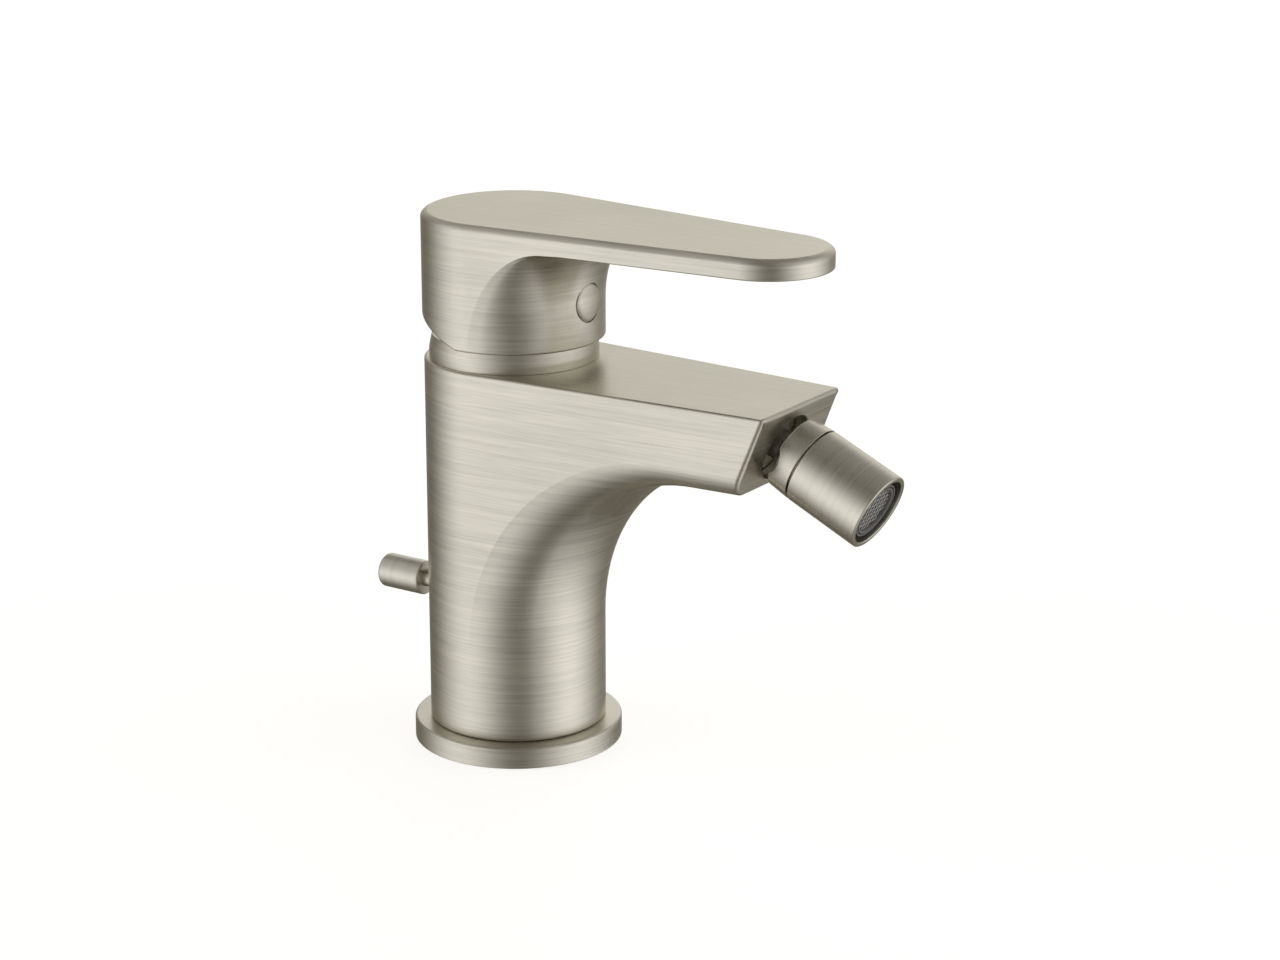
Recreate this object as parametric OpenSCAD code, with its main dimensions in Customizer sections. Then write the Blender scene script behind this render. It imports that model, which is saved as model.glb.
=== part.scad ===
// Single-lever bidet mixer with a ball-jointed outlet and a rear pull for the pop-up waste.
// Sizes are in millimetres. +X runs forward along the spout and +Z is up.
// The origin lies on the column's axis, in the plane of the deck.

/* [Column] */
// Diameter of the round column
column_d = 44; // [43.4:0.2:46]
// Height of the column's flat top above the deck
column_top = 98.5; // [97:0.5:106]
// Radius of the rounded edge at the column's foot
foot_round = 1.8; // [1:0.2:3]
// Small bevel round the top edge
rim_bevel = 0.5; // [0.3:0.1:0.8]

/* [Base] */
// Diameter of the ring on the deck
ring_d = 52; // [50:0.5:58]
// Height of the ring
ring_h = 5.4; // [4.6:0.2:8]
// Width of the ring round the column's spigot
ring_wall = 6.9; // [6:0.1:7.5]
// Height of the spigot's foot above the deck
spigot_lift = 0.5; // [0.3:0.1:1]
// Distance of the rubber seal from the ring's rim
seal_edge = 1.5; // [1:0.1:2]
// Width of the rubber seal under the ring
seal_w = 3; // [2:0.25:3.5]
// Thickness of the rubber seal
seal_h = 2.2; // [1.5:0.1:3]

/* [Spout] */
// Distance from the column's axis to the top edge of the spout's face
spout_reach = 82; // [78:1:96]
// Width of the spout at its face
spout_tip_w = 34.6; // [30:0.2:38]
// Depth of the spout from its flat top to its underside
spout_depth = 20.3; // [20:0.1:22]
// Lean of the face, which looks forward and down, in degrees
face_angle = 22; // [18:1:26]
// Radius of the rounded lower edges of the spout
underside_round = 5.6; // [4:0.2:7]
// Radius of the arch where it leaves the flat flanks
arch_flank_r = 55; // [50:1:60]
// Radius of the arch along the middle of the underside
arch_mid_r = 43; // [40:1:46]

/* [Outlet joint] */
// Width of the face left below the recess
outlet_margin = 1.1; // [0.8:0.1:3]
// Diameter of the round recess in the face
recess_d = 17.2; // [16.8:0.1:18]
// Depth of the recess
recess_depth = 5; // [4.6:0.2:6]
// Distance from the face to the centre of the ball
ball_reach = 5; // [4.8:0.1:6]
// Thickness of the low friction liner round the ball
liner_wall = 0.74; // [0.6:0.02:0.8]
// Wall of the collar round the liner
collar_wall = 1.04; // [0.9:0.02:1.2]
// How far the outlet hangs below square to the face, in degrees
outlet_droop = 3; // [0:1:5]

/* [Outlet head] */
// Diameter of the outlet tube's mouth
nozzle_d = 19.14; // [18.8:0.02:20]
// Wall of the outlet tube
nozzle_wall = 1.27; // [1.1:0.01:1.5]
// How much narrower than the mouth the collar is at the parting groove
groove_taper = 0.24; // [0:0.02:0.6]
// How much narrower than the mouth the collar is at its rear edge
collar_taper = 0.94; // [0.4:0.02:1.4]
// Length of the collar
collar_l = 5.65; // [5.2:0.05:6]
// Distance from the ball's centre back to the collar's rear edge
collar_back = 3; // [2.6:0.1:3.2]
// Width of the parting groove
parting = 0.5; // [0.3:0.1:0.8]
// Length of the outlet tube in front of the groove
nozzle_l = 19.5; // [18.5:0.5:26]
// Wall of the rubber sleeve round the aerator insert
sleeve_wall = 1.15; // [0.8:0.05:1.5]
// Width of the insert's rim round the screen
insert_rim = 1.3; // [1:0.05:1.6]
// How far the aerator sits back from the mouth's edge
aerator_inset = 0.8; // [0.4:0.1:1.5]

/* [Cartridge] */
// Diameter of the ceramic cartridge
cartridge_d = 35; // [34:0.5:35.4]
// Wall of the cartridge round its ceramic discs
cartridge_wall = 2.5; // [2.2:0.1:3]
// How far the ring nut's thread stands out past the cartridge
nut_step = 1.5; // [1.2:0.1:1.8]
// Length of the ring nut's thread
nut_l = 8.5; // [7:0.5:9]
// Depth of the lever's pivot below the column's top
pivot_depth = 1.5; // [1:0.25:2.5]
// Thickness of each ceramic disc
disc_t = 3; // [2.5:0.25:3.5]
// Diameter of the ball at the stem's foot
stem_ball_d = 5; // [4.4:0.2:5.6]

/* [Cover ring] */
// How far the cover ring's widest line lies inside the lever's skirt
cover_inset = 1.5; // [1.4:0.1:2]
// How far the cover ring narrows to its foot
cover_waist = 1.1; // [0.6:0.1:1.5]
// Wall of the cover ring at its foot
cover_wall = 2.6; // [2.2:0.1:3]
// Height of the cover ring
cover_h = 5.8; // [5.5:0.1:6]

/* [Lever] */
// Diameter of the lever's skirt
skirt_d = 44.6; // [44:0.2:46]
// Wall of the skirt
skirt_wall = 1.4; // [1.2:0.1:1.5]
// Gap between the column's top and the skirt
skirt_gap = 5.2; // [4.8:0.1:5.6]
// Distance from the axis to the tip of the lever
lever_reach = 87.6; // [80:1:110]
// Width of the lever's round tip
tip_d = 31.2; // [26:0.2:36]
// Height from the skirt's foot to the lever's flat top
lever_h = 31; // [30:0.5:36]
// Thickness of the blade
blade_t = 5; // [4:0.25:6]
// Radius of the lever's top edge
lever_round = 1.6; // [1:0.1:2]
// Greatest tilt of the lever, in degrees
tilt_max = 20; // [16:1:22]
// Height of the index cap's centre above the skirt's foot
index_up = 10.6; // [10:0.2:11.6]
// Diameter of the index cap
index_d = 9.5; // [8.5:0.25:10.5]
// Width of the stem's square
stem_square = 8; // [7:0.25:8.5]

/* [Waste pull] */
// Height of the knob's axis above the deck
knob_up = 35.4; // [30:0.5:38]
// Diameter of the knob
knob_d = 8.7; // [7.5:0.1:10]
// Length of the knob
knob_l = 12.6; // [10:0.2:18]
// Gap between the column and the knob
knob_gap = 6.4; // [4:0.2:9]
// Diameter of the neck that carries the knob
neck_d = 4.2; // [3.4:0.2:4.8]
// Diameter of the lift rod
rod_d = 5; // [4.6:0.2:5.4]
// Wall of the bush that guides the rod
guide_wall = 1.7; // [1.2:0.1:2]
// Travel of the pull
rod_travel = 18; // [10:1:20]

/* [Supply] */
// Distance between the two hose inlets
inlet_pitch = 20; // [19:0.5:21]
// Bore of a hose inlet's thread
inlet_bore = 9; // [8:0.1:9.2]
// Depth of a hose inlet's thread
inlet_l = 13.5; // [10:0.5:16]
// Distance of the inlets behind the column's axis
inlet_back = 3; // [2:0.25:4]
// Bore of the fixing stud's thread
stud_bore = 6.8; // [6:0.1:7]
// Depth of the fixing stud's thread
stud_l = 14; // [10:0.5:18]
// Diameter of the waterways
way_d = 7; // [6:0.25:7.5]

/* [Hidden] */

$fn = 96;
eps = 0.01;
// Radial clearance of a running fit
run = 0.06;
// Radial clearance of a part that is only dropped in
slack = 0.1;
// Overlap that keeps faces that meet at a grazing angle apart
graze = 0.04;

nickel = [0.74, 0.72, 0.68];
brass = [0.80, 0.66, 0.36];
steel = [0.62, 0.63, 0.65];
ceramic = [0.93, 0.93, 0.90];
plastic = [0.86, 0.86, 0.84];
rubber = [0.10, 0.10, 0.11];
grey = [0.58, 0.58, 0.57];

// Base
ring_r = ring_d/2;
ring_bore_r = ring_r - ring_wall;
spigot_base_r = ring_bore_r - slack;

// Column and spout
column_r = column_d/2;
tip_hw = spout_tip_w/2;
underside_z = column_top - spout_depth;
// The flanks touch the column where a line from the tip's corner is a tangent.
function tangent_angle(r, x, y) = atan2(y, x) + acos(r/norm([x, y]));
spout_ta = tangent_angle(column_r, spout_reach, tip_hw);
spout_taper = 90 - spout_ta;
spout_root = (column_r - graze)*[cos(spout_ta), sin(spout_ta)];

// Face and outlet frame
recess_r = recess_d/2;
outlet_drop = spout_depth/cos(face_angle) - outlet_margin - recess_r;
face_dir = [cos(face_angle), 0, -sin(face_angle)];
outlet_at = [spout_reach, 0, column_top] - outlet_drop*[sin(face_angle), 0, cos(face_angle)];
ball_at = outlet_at + ball_reach*face_dir;

// Outlet head, from the tube's mouth in to the ball
nozzle_r = nozzle_d/2;
aerator_bore_r = nozzle_r - nozzle_wall;
spigot_r = aerator_bore_r - slack;
cup_r = spigot_r - collar_wall;
liner_out = cup_r - run;
liner_in = liner_out - liner_wall;
ball_r = liner_in - run;
sleeve_r = aerator_bore_r - slack/2;
insert_r = sleeve_r - sleeve_wall - slack/2;
screen_r = insert_r - insert_rim;
collar_front = collar_l - collar_back;
nozzle_back = collar_front + parting;
nozzle_front = nozzle_back + nozzle_l;
spigot_front = collar_front + 5.2;
land_back = spigot_front + 0.2;
land_front = land_back + 2.5;
gasket_t = 1.5;
aerator_back = land_front + gasket_t;
aerator_front = nozzle_front - aerator_inset;
seal_front = 5.5;
seal_bore_r = 4.4;
tube_bore_r = 5.3;
shank_r = 6;
flange_r = recess_r - 0.3;
flange_front = -2.3;
oring_mid_r = (shank_r + flange_r)/2;
oring_w = 1.28;

// Cartridge, stacked from the ring nut's foot down to its seat
cartridge_r = cartridge_d/2;
disc_r = cartridge_r - cartridge_wall;
nut_r = cartridge_r + nut_step;
nut_foot = column_top - nut_l;
lid_t = 0.9;
rotor_flange_t = 3;
carrier_t = 0.6 + stem_ball_d + 0.4;
base_t = 3.5;
seat_z = nut_foot - lid_t - 0.2 - rotor_flange_t - 0.4 - carrier_t - 2*disc_t - base_t;
fixed_z = seat_z + base_t;
moving_z = fixed_z + disc_t;
carrier_z = moving_z + disc_t;
// The stem's ball hangs just clear of the floor of its socket
stem_ball_r = stem_ball_d/2;
stem_ball_z = carrier_z + 0.6 + stem_ball_r;
pivot_z = column_top - pivot_depth;
stem_arm = pivot_z - stem_ball_z;
rotor_z = carrier_z + carrier_t + 0.4;
stem_pin_r = 1.5;
housing_bore_r = disc_r + 0.3;
disc_offset = stem_arm*sin(tilt_max)/2;
moving_r = housing_bore_r - disc_offset - 0.4;
port_r = way_d/2;
port_y = inlet_pitch/2;
mixed_x = 9.5;
nut_top = column_top + 3;
rotor_top = column_top + 2.5;
housing_top = column_top + 1;

// Cover ring, from the skirt in to the ring nut's neck and the rotor
skirt_r = skirt_d/2;
cover_r = skirt_r - cover_inset;
cover_foot_r = cover_r - cover_waist;
cover_bore_r = cover_foot_r - cover_wall;
cover_lip_r = cover_bore_r - 2.6;
nut_neck_r = cover_bore_r - slack;
nut_bore_r = nut_neck_r - 1.5;
neck_r_out = nut_bore_r - slack;
rotor_r = neck_r_out - 2.6;
stem_pin_l = 2*rotor_r - 0.6;

// Lever
skirt_foot = column_top + skirt_gap;
skirt_in = skirt_r - skirt_wall;
lever_top = skirt_foot + lever_h;
blade_z = lever_top - blade_t;
tip_r = tip_d/2;
tip_x = lever_reach - tip_r;
lever_taper = asin((skirt_r - tip_r)/tip_x);
lever_root_x = skirt_r*sin(lever_taper);
index_z = skirt_foot + index_up;
cavity_top = blade_z - 2;
hub_r = 8.5;
hub_foot = skirt_foot + 3.3;
boss_r = index_d/2 + 1.4;
stem_top = index_z + 6.5;

// Waste pull
rod_r = rod_d/2;
rod_bore_r = rod_r + 0.5;
guide_r = rod_r + guide_wall;
rod_back = spigot_base_r - 1.2 - guide_r;
neck_r = neck_d/2;
knob_front = -(column_r + knob_gap);
rod_foot = 1;
rod_top = knob_up + 4;
slot_hw = neck_r + 0.35;

// Waterway from the mixed port to the ball stud: corners of its middle line
way_r = 4;
way_port = [mixed_x, 0, seat_z + 1];
way_low = [mixed_x, 0, underside_z - 22.2];
way_bend = [column_r + 1.5, 0, underside_z - 13.7];
way_high = [column_r + 26, 0, column_top - spout_depth/2];
way_stud = outlet_at - (recess_depth + 3.5)*face_dir;

// Points of a circular arc from angle a to angle b
function arc(c, r, a, b, n) = [for (i = [0:n]) c + r*[cos(a + (b - a)*i/n), sin(a + (b - a)*i/n)]];

// Quarter ellipse that starts upright at z0 and reaches its full run at z0 + rise
function sweep_in(z, z0, run_x, rise) =
    let (t = max(0, min(1, (z - z0)/rise))) run_x*(1 - sqrt(1 - t*t));

// Places children in the frame of the spout's face: +Z looks out of it
module at_face() {
    translate(outlet_at) rotate([0, 90 + face_angle, 0]) children();
}

// Places children in the outlet head's frame: origin in the ball, +Z to the mouth
module at_head() {
    translate(ball_at) rotate([0, 90 + face_angle + outlet_droop, 0]) children();
}

// Hole drilled from one point to another, and on beyond it
module drilled(a, b, r, beyond) {
    d = b - a;
    n = norm(d);
    translate(a) rotate([0, acos(d.z/n), atan2(d.y, d.x)]) cylinder(r = r, h = n + beyond);
}

// Blend under a blade or spout: level sections, each half an ellipse, from a round
// column to a flat underside. flank is the line where it leaves the flat flanks.
function blend_ring(z, r, root, taper, flank, mid, lift) =
    let (
        over = min(0.7, -0.3 + (z - flank[0])/lift),
        fx = root.x + sweep_in(z, flank[0], flank[1], flank[2]),
        fy = root.y - (fx - root.x)*tan(taper),
        w = fy + over,
        front = r + min(graze, over) + sweep_in(z, mid[0], mid[1], mid[2]),
        k = w > fy ? sqrt(1 - pow(fy/w, 2)) : 0,
        a = (front - fx)/(1 - k),
        c = front - a
    )
    concat(
        [[-0.35*r, -0.85*r, z], [root.x - 2, -root.y - over, z]],
        [for (i = [0:24]) [c + a*cos(-90 + 7.5*i), w*sin(-90 + 7.5*i), z]],
        [[root.x - 2, root.y + over, z], [-0.35*r, 0.85*r, z]]
    );

// Solid of the blend between heights z0 and z1
module blend(z0, z1, steps, r, root, taper, flank, mid, lift) {
    m = 29;
    rings = [for (i = [0:steps]) blend_ring(z0 + (z1 - z0)*i/steps, r, root, taper, flank, mid, lift)];
    points = [for (ring = rings) each ring];
    sides = [
        for (i = [0:steps - 1], j = [0:m - 1])
            let (a = i*m + j, b = i*m + (j + 1) % m)
            each [[a, a + m, b + m], [a, b + m, b]]
    ];
    foot = [for (j = [0:m - 1]) j];
    head = [for (j = [m - 1:-1:0]) steps*m + j];
    polyhedron(points, concat([foot], sides, [head]), convexity = 4);
}

// Plan of the spout, without the column's circle
module spout_plan() {
    polygon([
        spout_root, [spout_reach, tip_hw], [spout_reach, -tip_hw], [spout_root.x, -spout_root.y],
        [-0.35*column_r, -0.7*column_r], [-0.35*column_r, 0.7*column_r]
    ]);
}

// What is cut away to round one lower edge of the spout
module edge_rounding() {
    translate([spout_root.x, spout_root.y, underside_z])
        rotate([0, 0, -spout_taper])
            difference() {
                translate([0, -underside_round, -1])
                    cube([spout_reach, underside_round + 1, underside_round + 1]);
                translate([-1, graze - underside_round, underside_round - graze])
                    rotate([0, 90, 0]) cylinder(r = underside_round, h = spout_reach + 2);
            }
}

// Flat block of the spout with its rounded lower edges
module spout_block() {
    difference() {
        translate([0, 0, underside_z]) linear_extrude(spout_depth) spout_plan();
        edge_rounding();
        mirror([0, 1, 0]) edge_rounding();
    }
}

// Concave blend that carries the spout from the column
module spout_arch() {
    flank_z = underside_z + underside_round - arch_flank_r;
    intersection() {
        blend(flank_z, underside_z + underside_round, 22, column_r, spout_root, spout_taper,
            [flank_z, arch_flank_r, arch_flank_r], [underside_z - arch_mid_r, arch_mid_r, arch_mid_r], 16);
        translate([0, 0, flank_z - 1]) linear_extrude(column_top - flank_z) spout_plan();
    }
}

// Round column with its rounded foot and bevelled rim
module column() {
    f = foot_round;
    rotate_extrude() polygon(concat(
        [[0, ring_h]],
        arc([column_r - f, ring_h + f], f, -90, 0, 6),
        [[column_r, column_top - rim_bevel], [column_r - rim_bevel, column_top], [0, column_top]]
    ));
}

// Everything that is bored or cut out of the casting
module body_bores() {
    // Cartridge seat and the ring nut's thread
    translate([0, 0, seat_z]) cylinder(r = cartridge_r + slack, h = column_top - seat_z + 1);
    translate([0, 0, nut_foot]) cylinder(r = nut_r, h = nut_l + 1);
    // Hose inlets, their waterways and the fixing stud's thread
    for (s = [-1, 1]) translate([-inlet_back, s*port_y, 0]) {
        cylinder(d = inlet_bore, h = spigot_lift + inlet_l);
        cylinder(r = port_r, h = seat_z + 1);
    }
    cylinder(d = stud_bore, h = spigot_lift + stud_l);
    // Mixed water to the outlet
    drilled(way_port, way_low, way_r, 4);
    drilled(way_low, way_bend, way_r - 0.3, 3.5);
    drilled(way_bend, way_high, way_r - 0.6, 0);
    drilled(way_stud, way_high, way_r, 4.5);
    // Seat of the ball stud
    at_face() {
        translate([0, 0, -recess_depth]) cylinder(r = recess_r, h = recess_depth + 5);
        translate([0, 0, -recess_depth - 5.5]) cylinder(r = shank_r, h = 6);
    }
    // Lift rod, its guide and the slot of the knob's neck
    translate([-rod_back, 0, 0]) {
        cylinder(r = rod_bore_r, h = rod_top + rod_travel + 2);
        cylinder(r = guide_r, h = spigot_lift + 6);
    }
    for (z = [knob_up, knob_up + rod_travel])
        translate([-rod_back, 0, z]) rotate([0, -90, 0]) cylinder(r = slot_hw, h = column_r);
    translate([-rod_back - column_r, -slot_hw, knob_up]) cube([column_r, 2*slot_hw, rod_travel]);
}

module body() {
    color(nickel) difference() {
        union() {
            column();
            translate([0, 0, spigot_lift]) cylinder(r = spigot_base_r, h = ring_h - spigot_lift + 3);
            difference() {
                union() {
                    spout_block();
                    spout_arch();
                }
                // Slanted face
                translate([spout_reach, 0, column_top]) rotate([0, face_angle, 0])
                    translate([0, -50, -80]) cube([60, 100, 120]);
            }
        }
        body_bores();
    }
}

module base_ring() {
    color(nickel) difference() {
        cylinder(r = ring_r, h = ring_h);
        translate([0, 0, -1]) cylinder(r = ring_bore_r, h = ring_h + 2);
        translate([0, 0, -1]) seal_band(seal_h + 1);
    }
}

// Flat band of the seal, near the ring's outer edge
module seal_band(h) {
    r = ring_r - seal_edge;
    difference() {
        cylinder(r = r, h = h);
        translate([0, 0, -1]) cylinder(r = r - seal_w, h = h + 2);
    }
}

module base_seal() {
    color(rubber) seal_band(seal_h);
}

module rod_guide() {
    color(plastic) translate([-rod_back, 0, spigot_lift]) difference() {
        cylinder(r = guide_r, h = 6);
        translate([0, 0, -1]) cylinder(r = rod_r + run, h = 8);
    }
}

// Centres of the three ports in the cartridge's foot
ports = [[-inlet_back, -port_y], [-inlet_back, port_y], [mixed_x, 0]];

module cartridge_base() {
    color(plastic) translate([0, 0, seat_z]) difference() {
        cylinder(r = cartridge_r, h = base_t);
        for (p = ports) translate([p.x, p.y, -1]) {
            cylinder(r = 2.6, h = base_t + 2);
            cylinder(r = 4.4, h = 2.3);
        }
    }
}

module port_seals() {
    color(rubber) for (p = ports) translate([p.x, p.y, seat_z]) difference() {
        cylinder(r = 4.4, h = 1.3);
        translate([0, 0, -1]) cylinder(r = 3, h = 4);
    }
}

module fixed_disc() {
    color(ceramic) translate([0, 0, fixed_z]) difference() {
        cylinder(r = disc_r, h = disc_t);
        for (p = ports) translate([p.x*0.9, p.y*0.9, -1]) cylinder(r = 2.4, h = disc_t + 2);
    }
}

module moving_disc() {
    color(ceramic) translate([-disc_offset, 0, moving_z]) difference() {
        cylinder(r = moving_r, h = disc_t);
        // Shallow chamber that joins the ports
        translate([2, 0, -1]) cylinder(r = 7.5, h = 2.2);
    }
}

module disc_carrier() {
    color(plastic) difference() {
        translate([-disc_offset, 0, carrier_z]) cylinder(r = moving_r, h = carrier_t);
        // Socket of the stem's ball
        translate([0, 0, carrier_z + 0.4]) cylinder(r = stem_ball_r + 0.25, h = carrier_t);
    }
}

module cartridge_housing() {
    bore_top = rotor_z + rotor_flange_t + 0.2;
    color(plastic) difference() {
        union() {
            translate([0, 0, fixed_z]) cylinder(r = cartridge_r, h = nut_foot - fixed_z);
            translate([0, 0, fixed_z]) cylinder(r = neck_r_out, h = housing_top - fixed_z);
        }
        translate([0, 0, fixed_z - 1]) cylinder(r = disc_r + run, h = disc_t + 1);
        translate([0, 0, moving_z - eps]) cylinder(r = housing_bore_r, h = bore_top - moving_z + eps);
        translate([0, 0, fixed_z]) cylinder(r = rotor_r + run, h = housing_top);
    }
}

module cartridge_rotor() {
    color(plastic) difference() {
        union() {
            translate([0, 0, rotor_z]) cylinder(r = housing_bore_r - run, h = rotor_flange_t);
            translate([0, 0, rotor_z]) cylinder(r = rotor_r, h = rotor_top - rotor_z);
        }
        // Slot in which the stem rocks
        translate([-8.5, -stem_square/2 + 0.2, rotor_z - 1])
            cube([17, stem_square - 0.4, rotor_top - rotor_z + 2]);
        translate([0, 0, pivot_z]) rotate([90, 0, 0])
            cylinder(r = stem_pin_r, h = 2*rotor_r + 2, center = true);
    }
}

module stem_pin() {
    color(steel) translate([0, 0, pivot_z]) rotate([90, 0, 0])
        cylinder(r = stem_pin_r, h = stem_pin_l, center = true);
}

module cartridge_nut() {
    color(brass) difference() {
        union() {
            translate([0, 0, nut_foot]) cylinder(r = nut_r - run, h = nut_l - slack);
            translate([0, 0, nut_foot]) cylinder(r = nut_neck_r, h = nut_top - nut_foot);
        }
        translate([0, 0, nut_foot - 1]) cylinder(r = nut_bore_r, h = nut_top - nut_foot + 2);
        // Slots for a ring spanner
        for (a = [0:60:300]) rotate([0, 0, a])
            translate([nut_neck_r - 0.8, -1.5, column_top + 0.6]) cube([3, 3, nut_top - column_top]);
    }
}

module cartridge_cover() {
    z = column_top;
    color(nickel) rotate_extrude() polygon([
        [cover_bore_r, z], [cover_foot_r, z],
        [cover_r - 0.5*cover_waist, z + 0.45], [cover_r - 0.1*cover_waist, z + 1.2],
        [cover_r, z + 2.2], [cover_r - 0.06*cover_waist, z + 3.2],
        [cover_r - 0.36*cover_waist, z + 4.6], [cover_r - 0.8*cover_waist, z + cover_h],
        [cover_lip_r, z + cover_h], [cover_lip_r, nut_top + 0.3], [cover_bore_r, nut_top + 0.3]
    ]);
}

// Disc whose upper edge is rounded, for the two ends of the lever
module rounded_disc(r, h) {
    rotate_extrude($fn = 96) polygon(concat(
        [[0, 0], [r, 0]],
        arc([r - lever_round, h - lever_round], lever_round, 0, 90, 5),
        [[0, h]]
    ));
}

module lever_handle() {
    cut_r = skirt_r - graze;
    root = [lever_root_x, cut_r*cos(lever_taper)];
    color(nickel) difference() {
        translate([0, 0, skirt_foot]) hull() {
            rounded_disc(skirt_r, lever_h);
            translate([tip_x, 0, 0]) rounded_disc(tip_r, lever_h);
        }
        // Space under the blade, in front of the skirt and its blend
        difference() {
            translate([lever_root_x, -skirt_r - 5, skirt_foot - 5])
                cube([lever_reach + 10, 2*skirt_r + 10, blade_z - skirt_foot + 5]);
            translate([0, 0, skirt_foot - 6]) cylinder(r = cut_r, h = lever_h);
            blend(blade_z - 27, blade_z + 1, 14, cut_r, root, lever_taper,
                [blade_z - 27, 18, 27], [blade_z - 8, 2.5, 8], 12);
        }
        // Bevel that clears the cover ring as the lever tilts
        translate([-1.5, 0, skirt_foot]) rotate([0, 180 + 19.2, 0])
            translate([0, -50, 0]) cube([60, 100, 40]);
        // Hollow skirt round the hub
        difference() {
            translate([0, 0, skirt_foot - 1]) cylinder(r = skirt_in, h = cavity_top - skirt_foot + 1);
            translate([0, 0, hub_foot]) cylinder(r = hub_r, h = lever_h);
            translate([0, 0, index_z]) rotate([0, 90, 0]) cylinder(r = boss_r, h = skirt_r);
        }
        // Square socket, grub screw's hole and the index cap's seat
        translate([-stem_square/2, -stem_square/2, hub_foot - 1])
            cube([stem_square, stem_square, stem_top - hub_foot + 1]);
        translate([0, 0, index_z]) rotate([0, 90, 0]) {
            cylinder(r = 2.5, h = skirt_r);
            translate([0, 0, skirt_r - 3]) cylinder(r = index_d/2 + slack, h = 4);
        }
    }
}

module lever_stem() {
    q = stem_square;
    color(steel) difference() {
        union() {
            translate([-q/2, -q/2, rotor_top + 2.5]) cube([q, q, stem_top - rotor_top - 2.5]);
            translate([-q/2, -q/2 + 0.5, pivot_z - 4]) cube([q, q - 1, rotor_top + 3 - pivot_z + 4]);
            translate([0, 0, stem_ball_z]) cylinder(r = stem_ball_r - 1, h = stem_arm - 3);
            translate([0, 0, stem_ball_z]) sphere(r = stem_ball_r);
        }
        translate([0, 0, pivot_z]) rotate([90, 0, 0]) cylinder(r = stem_pin_r + run, h = 20, center = true);
    }
}

module grub_screw() {
    color(steel) translate([stem_square/2, 0, index_z]) rotate([0, 90, 0]) difference() {
        cylinder(r = 2.5, h = 6);
        translate([0, 0, 3]) cylinder(r = 1.44, h = 4, $fn = 6);
    }
}

module index_cap() {
    color(nickel) translate([skirt_r - 3, 0, index_z]) rotate([0, 90, 0]) {
        rotate_extrude() polygon(concat(
            [[0, 0], [index_d/2, 0]],
            arc([index_d/2 - 0.4, 3.1], 0.4, 0, 90, 4),
            [[0, 3.5]]
        ));
        translate([0, 0, -3]) cylinder(r = 2.4, h = 3.5);
    }
}

module ball_stud() {
    color(brass) at_face() difference() {
        union() {
            translate([0, 0, -recess_depth]) cylinder(r = flange_r, h = flange_front + recess_depth);
            translate([0, 0, -recess_depth - 5]) cylinder(r = shank_r - run, h = 6);
            translate([0, 0, -recess_depth]) cylinder(r = ball_r - 2.6, h = recess_depth + ball_reach);
            intersection() {
                translate([0, 0, ball_reach]) sphere(r = ball_r);
                translate([-10, -10, ball_reach - 10]) cube([20, 20, 10 + ball_r - 1]);
            }
        }
        // Waterway with a key socket in its mouth, and the O-ring's groove
        translate([0, 0, -recess_depth - 6]) cylinder(r = 2.6, h = 30);
        translate([0, 0, ball_reach + ball_r - 5]) cylinder(r = 3.2, h = 6, $fn = 6);
        translate([0, 0, -recess_depth - 1]) difference() {
            cylinder(r = oring_mid_r + oring_w/2 + run, h = 1 + oring_w + 0.02);
            translate([0, 0, -1]) cylinder(r = oring_mid_r - oring_w/2 - run, h = 5);
        }
    }
}

module stud_oring() {
    color(rubber) at_face() translate([0, 0, -recess_depth + oring_w/2 + 0.01])
        rotate_extrude() translate([oring_mid_r, 0]) circle(d = oring_w, $fn = 32);
}

module ball_liner() {
    color(plastic) at_head() rotate_extrude() intersection() {
        difference() {
            circle(r = liner_out);
            circle(r = liner_in);
        }
        translate([0, -collar_back]) square([20, collar_back - 1.5]);
    }
}

module ball_seal() {
    color(rubber) at_head() rotate_extrude() difference() {
        translate([seal_bore_r, 1.3]) square([cup_r - run - seal_bore_r, seal_front - 1.3]);
        circle(r = liner_in);
    }
}

module swivel_collar() {
    notch_r = 5.6;
    color(nickel) at_head() difference() {
        union() {
            translate([0, 0, -collar_back])
                cylinder(d1 = nozzle_d - collar_taper, d2 = nozzle_d - groove_taper, h = collar_l);
            cylinder(r = spigot_r, h = spigot_front);
        }
        // Spherical cup, then the straight bore in front of it
        sphere(r = cup_r);
        cylinder(r = cup_r, h = spigot_front + 1);
        // Two rounded notches for a spanner
        for (a = [-90, 90]) rotate([0, 0, a])
            translate([cup_r + 0.6, 0, -collar_back - notch_r + 1.7])
                rotate([0, 90, 0]) cylinder(r = notch_r, h = 5);
    }
}

module nozzle_shell() {
    r_back = nozzle_r - groove_taper/2 + 0.02;
    color(nickel) at_head() difference() {
        union() {
            translate([0, 0, nozzle_back]) cylinder(r1 = r_back, r2 = nozzle_r, h = nozzle_l - 0.3);
            translate([0, 0, nozzle_front - 0.31])
                cylinder(r1 = nozzle_r, r2 = nozzle_r - 0.3, h = 0.31);
        }
        // Thread on the collar, leaving a tube that presses the seal
        translate([0, 0, nozzle_back - 1]) difference() {
            cylinder(r = spigot_r + 0.05, h = land_back - nozzle_back + 1);
            translate([0, 0, seal_front + 0.1 - nozzle_back + 1]) cylinder(r = cup_r - slack - run, h = 9);
        }
        cylinder(r = tube_bore_r, h = nozzle_front + 1);
        translate([0, 0, land_front]) cylinder(r = aerator_bore_r, h = nozzle_front);
    }
}

module aerator_gasket() {
    color(rubber) at_head() translate([0, 0, land_front]) difference() {
        cylinder(r = sleeve_r, h = gasket_t);
        translate([0, 0, -1]) cylinder(r = tube_bore_r + 0.5, h = 4);
    }
}

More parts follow.
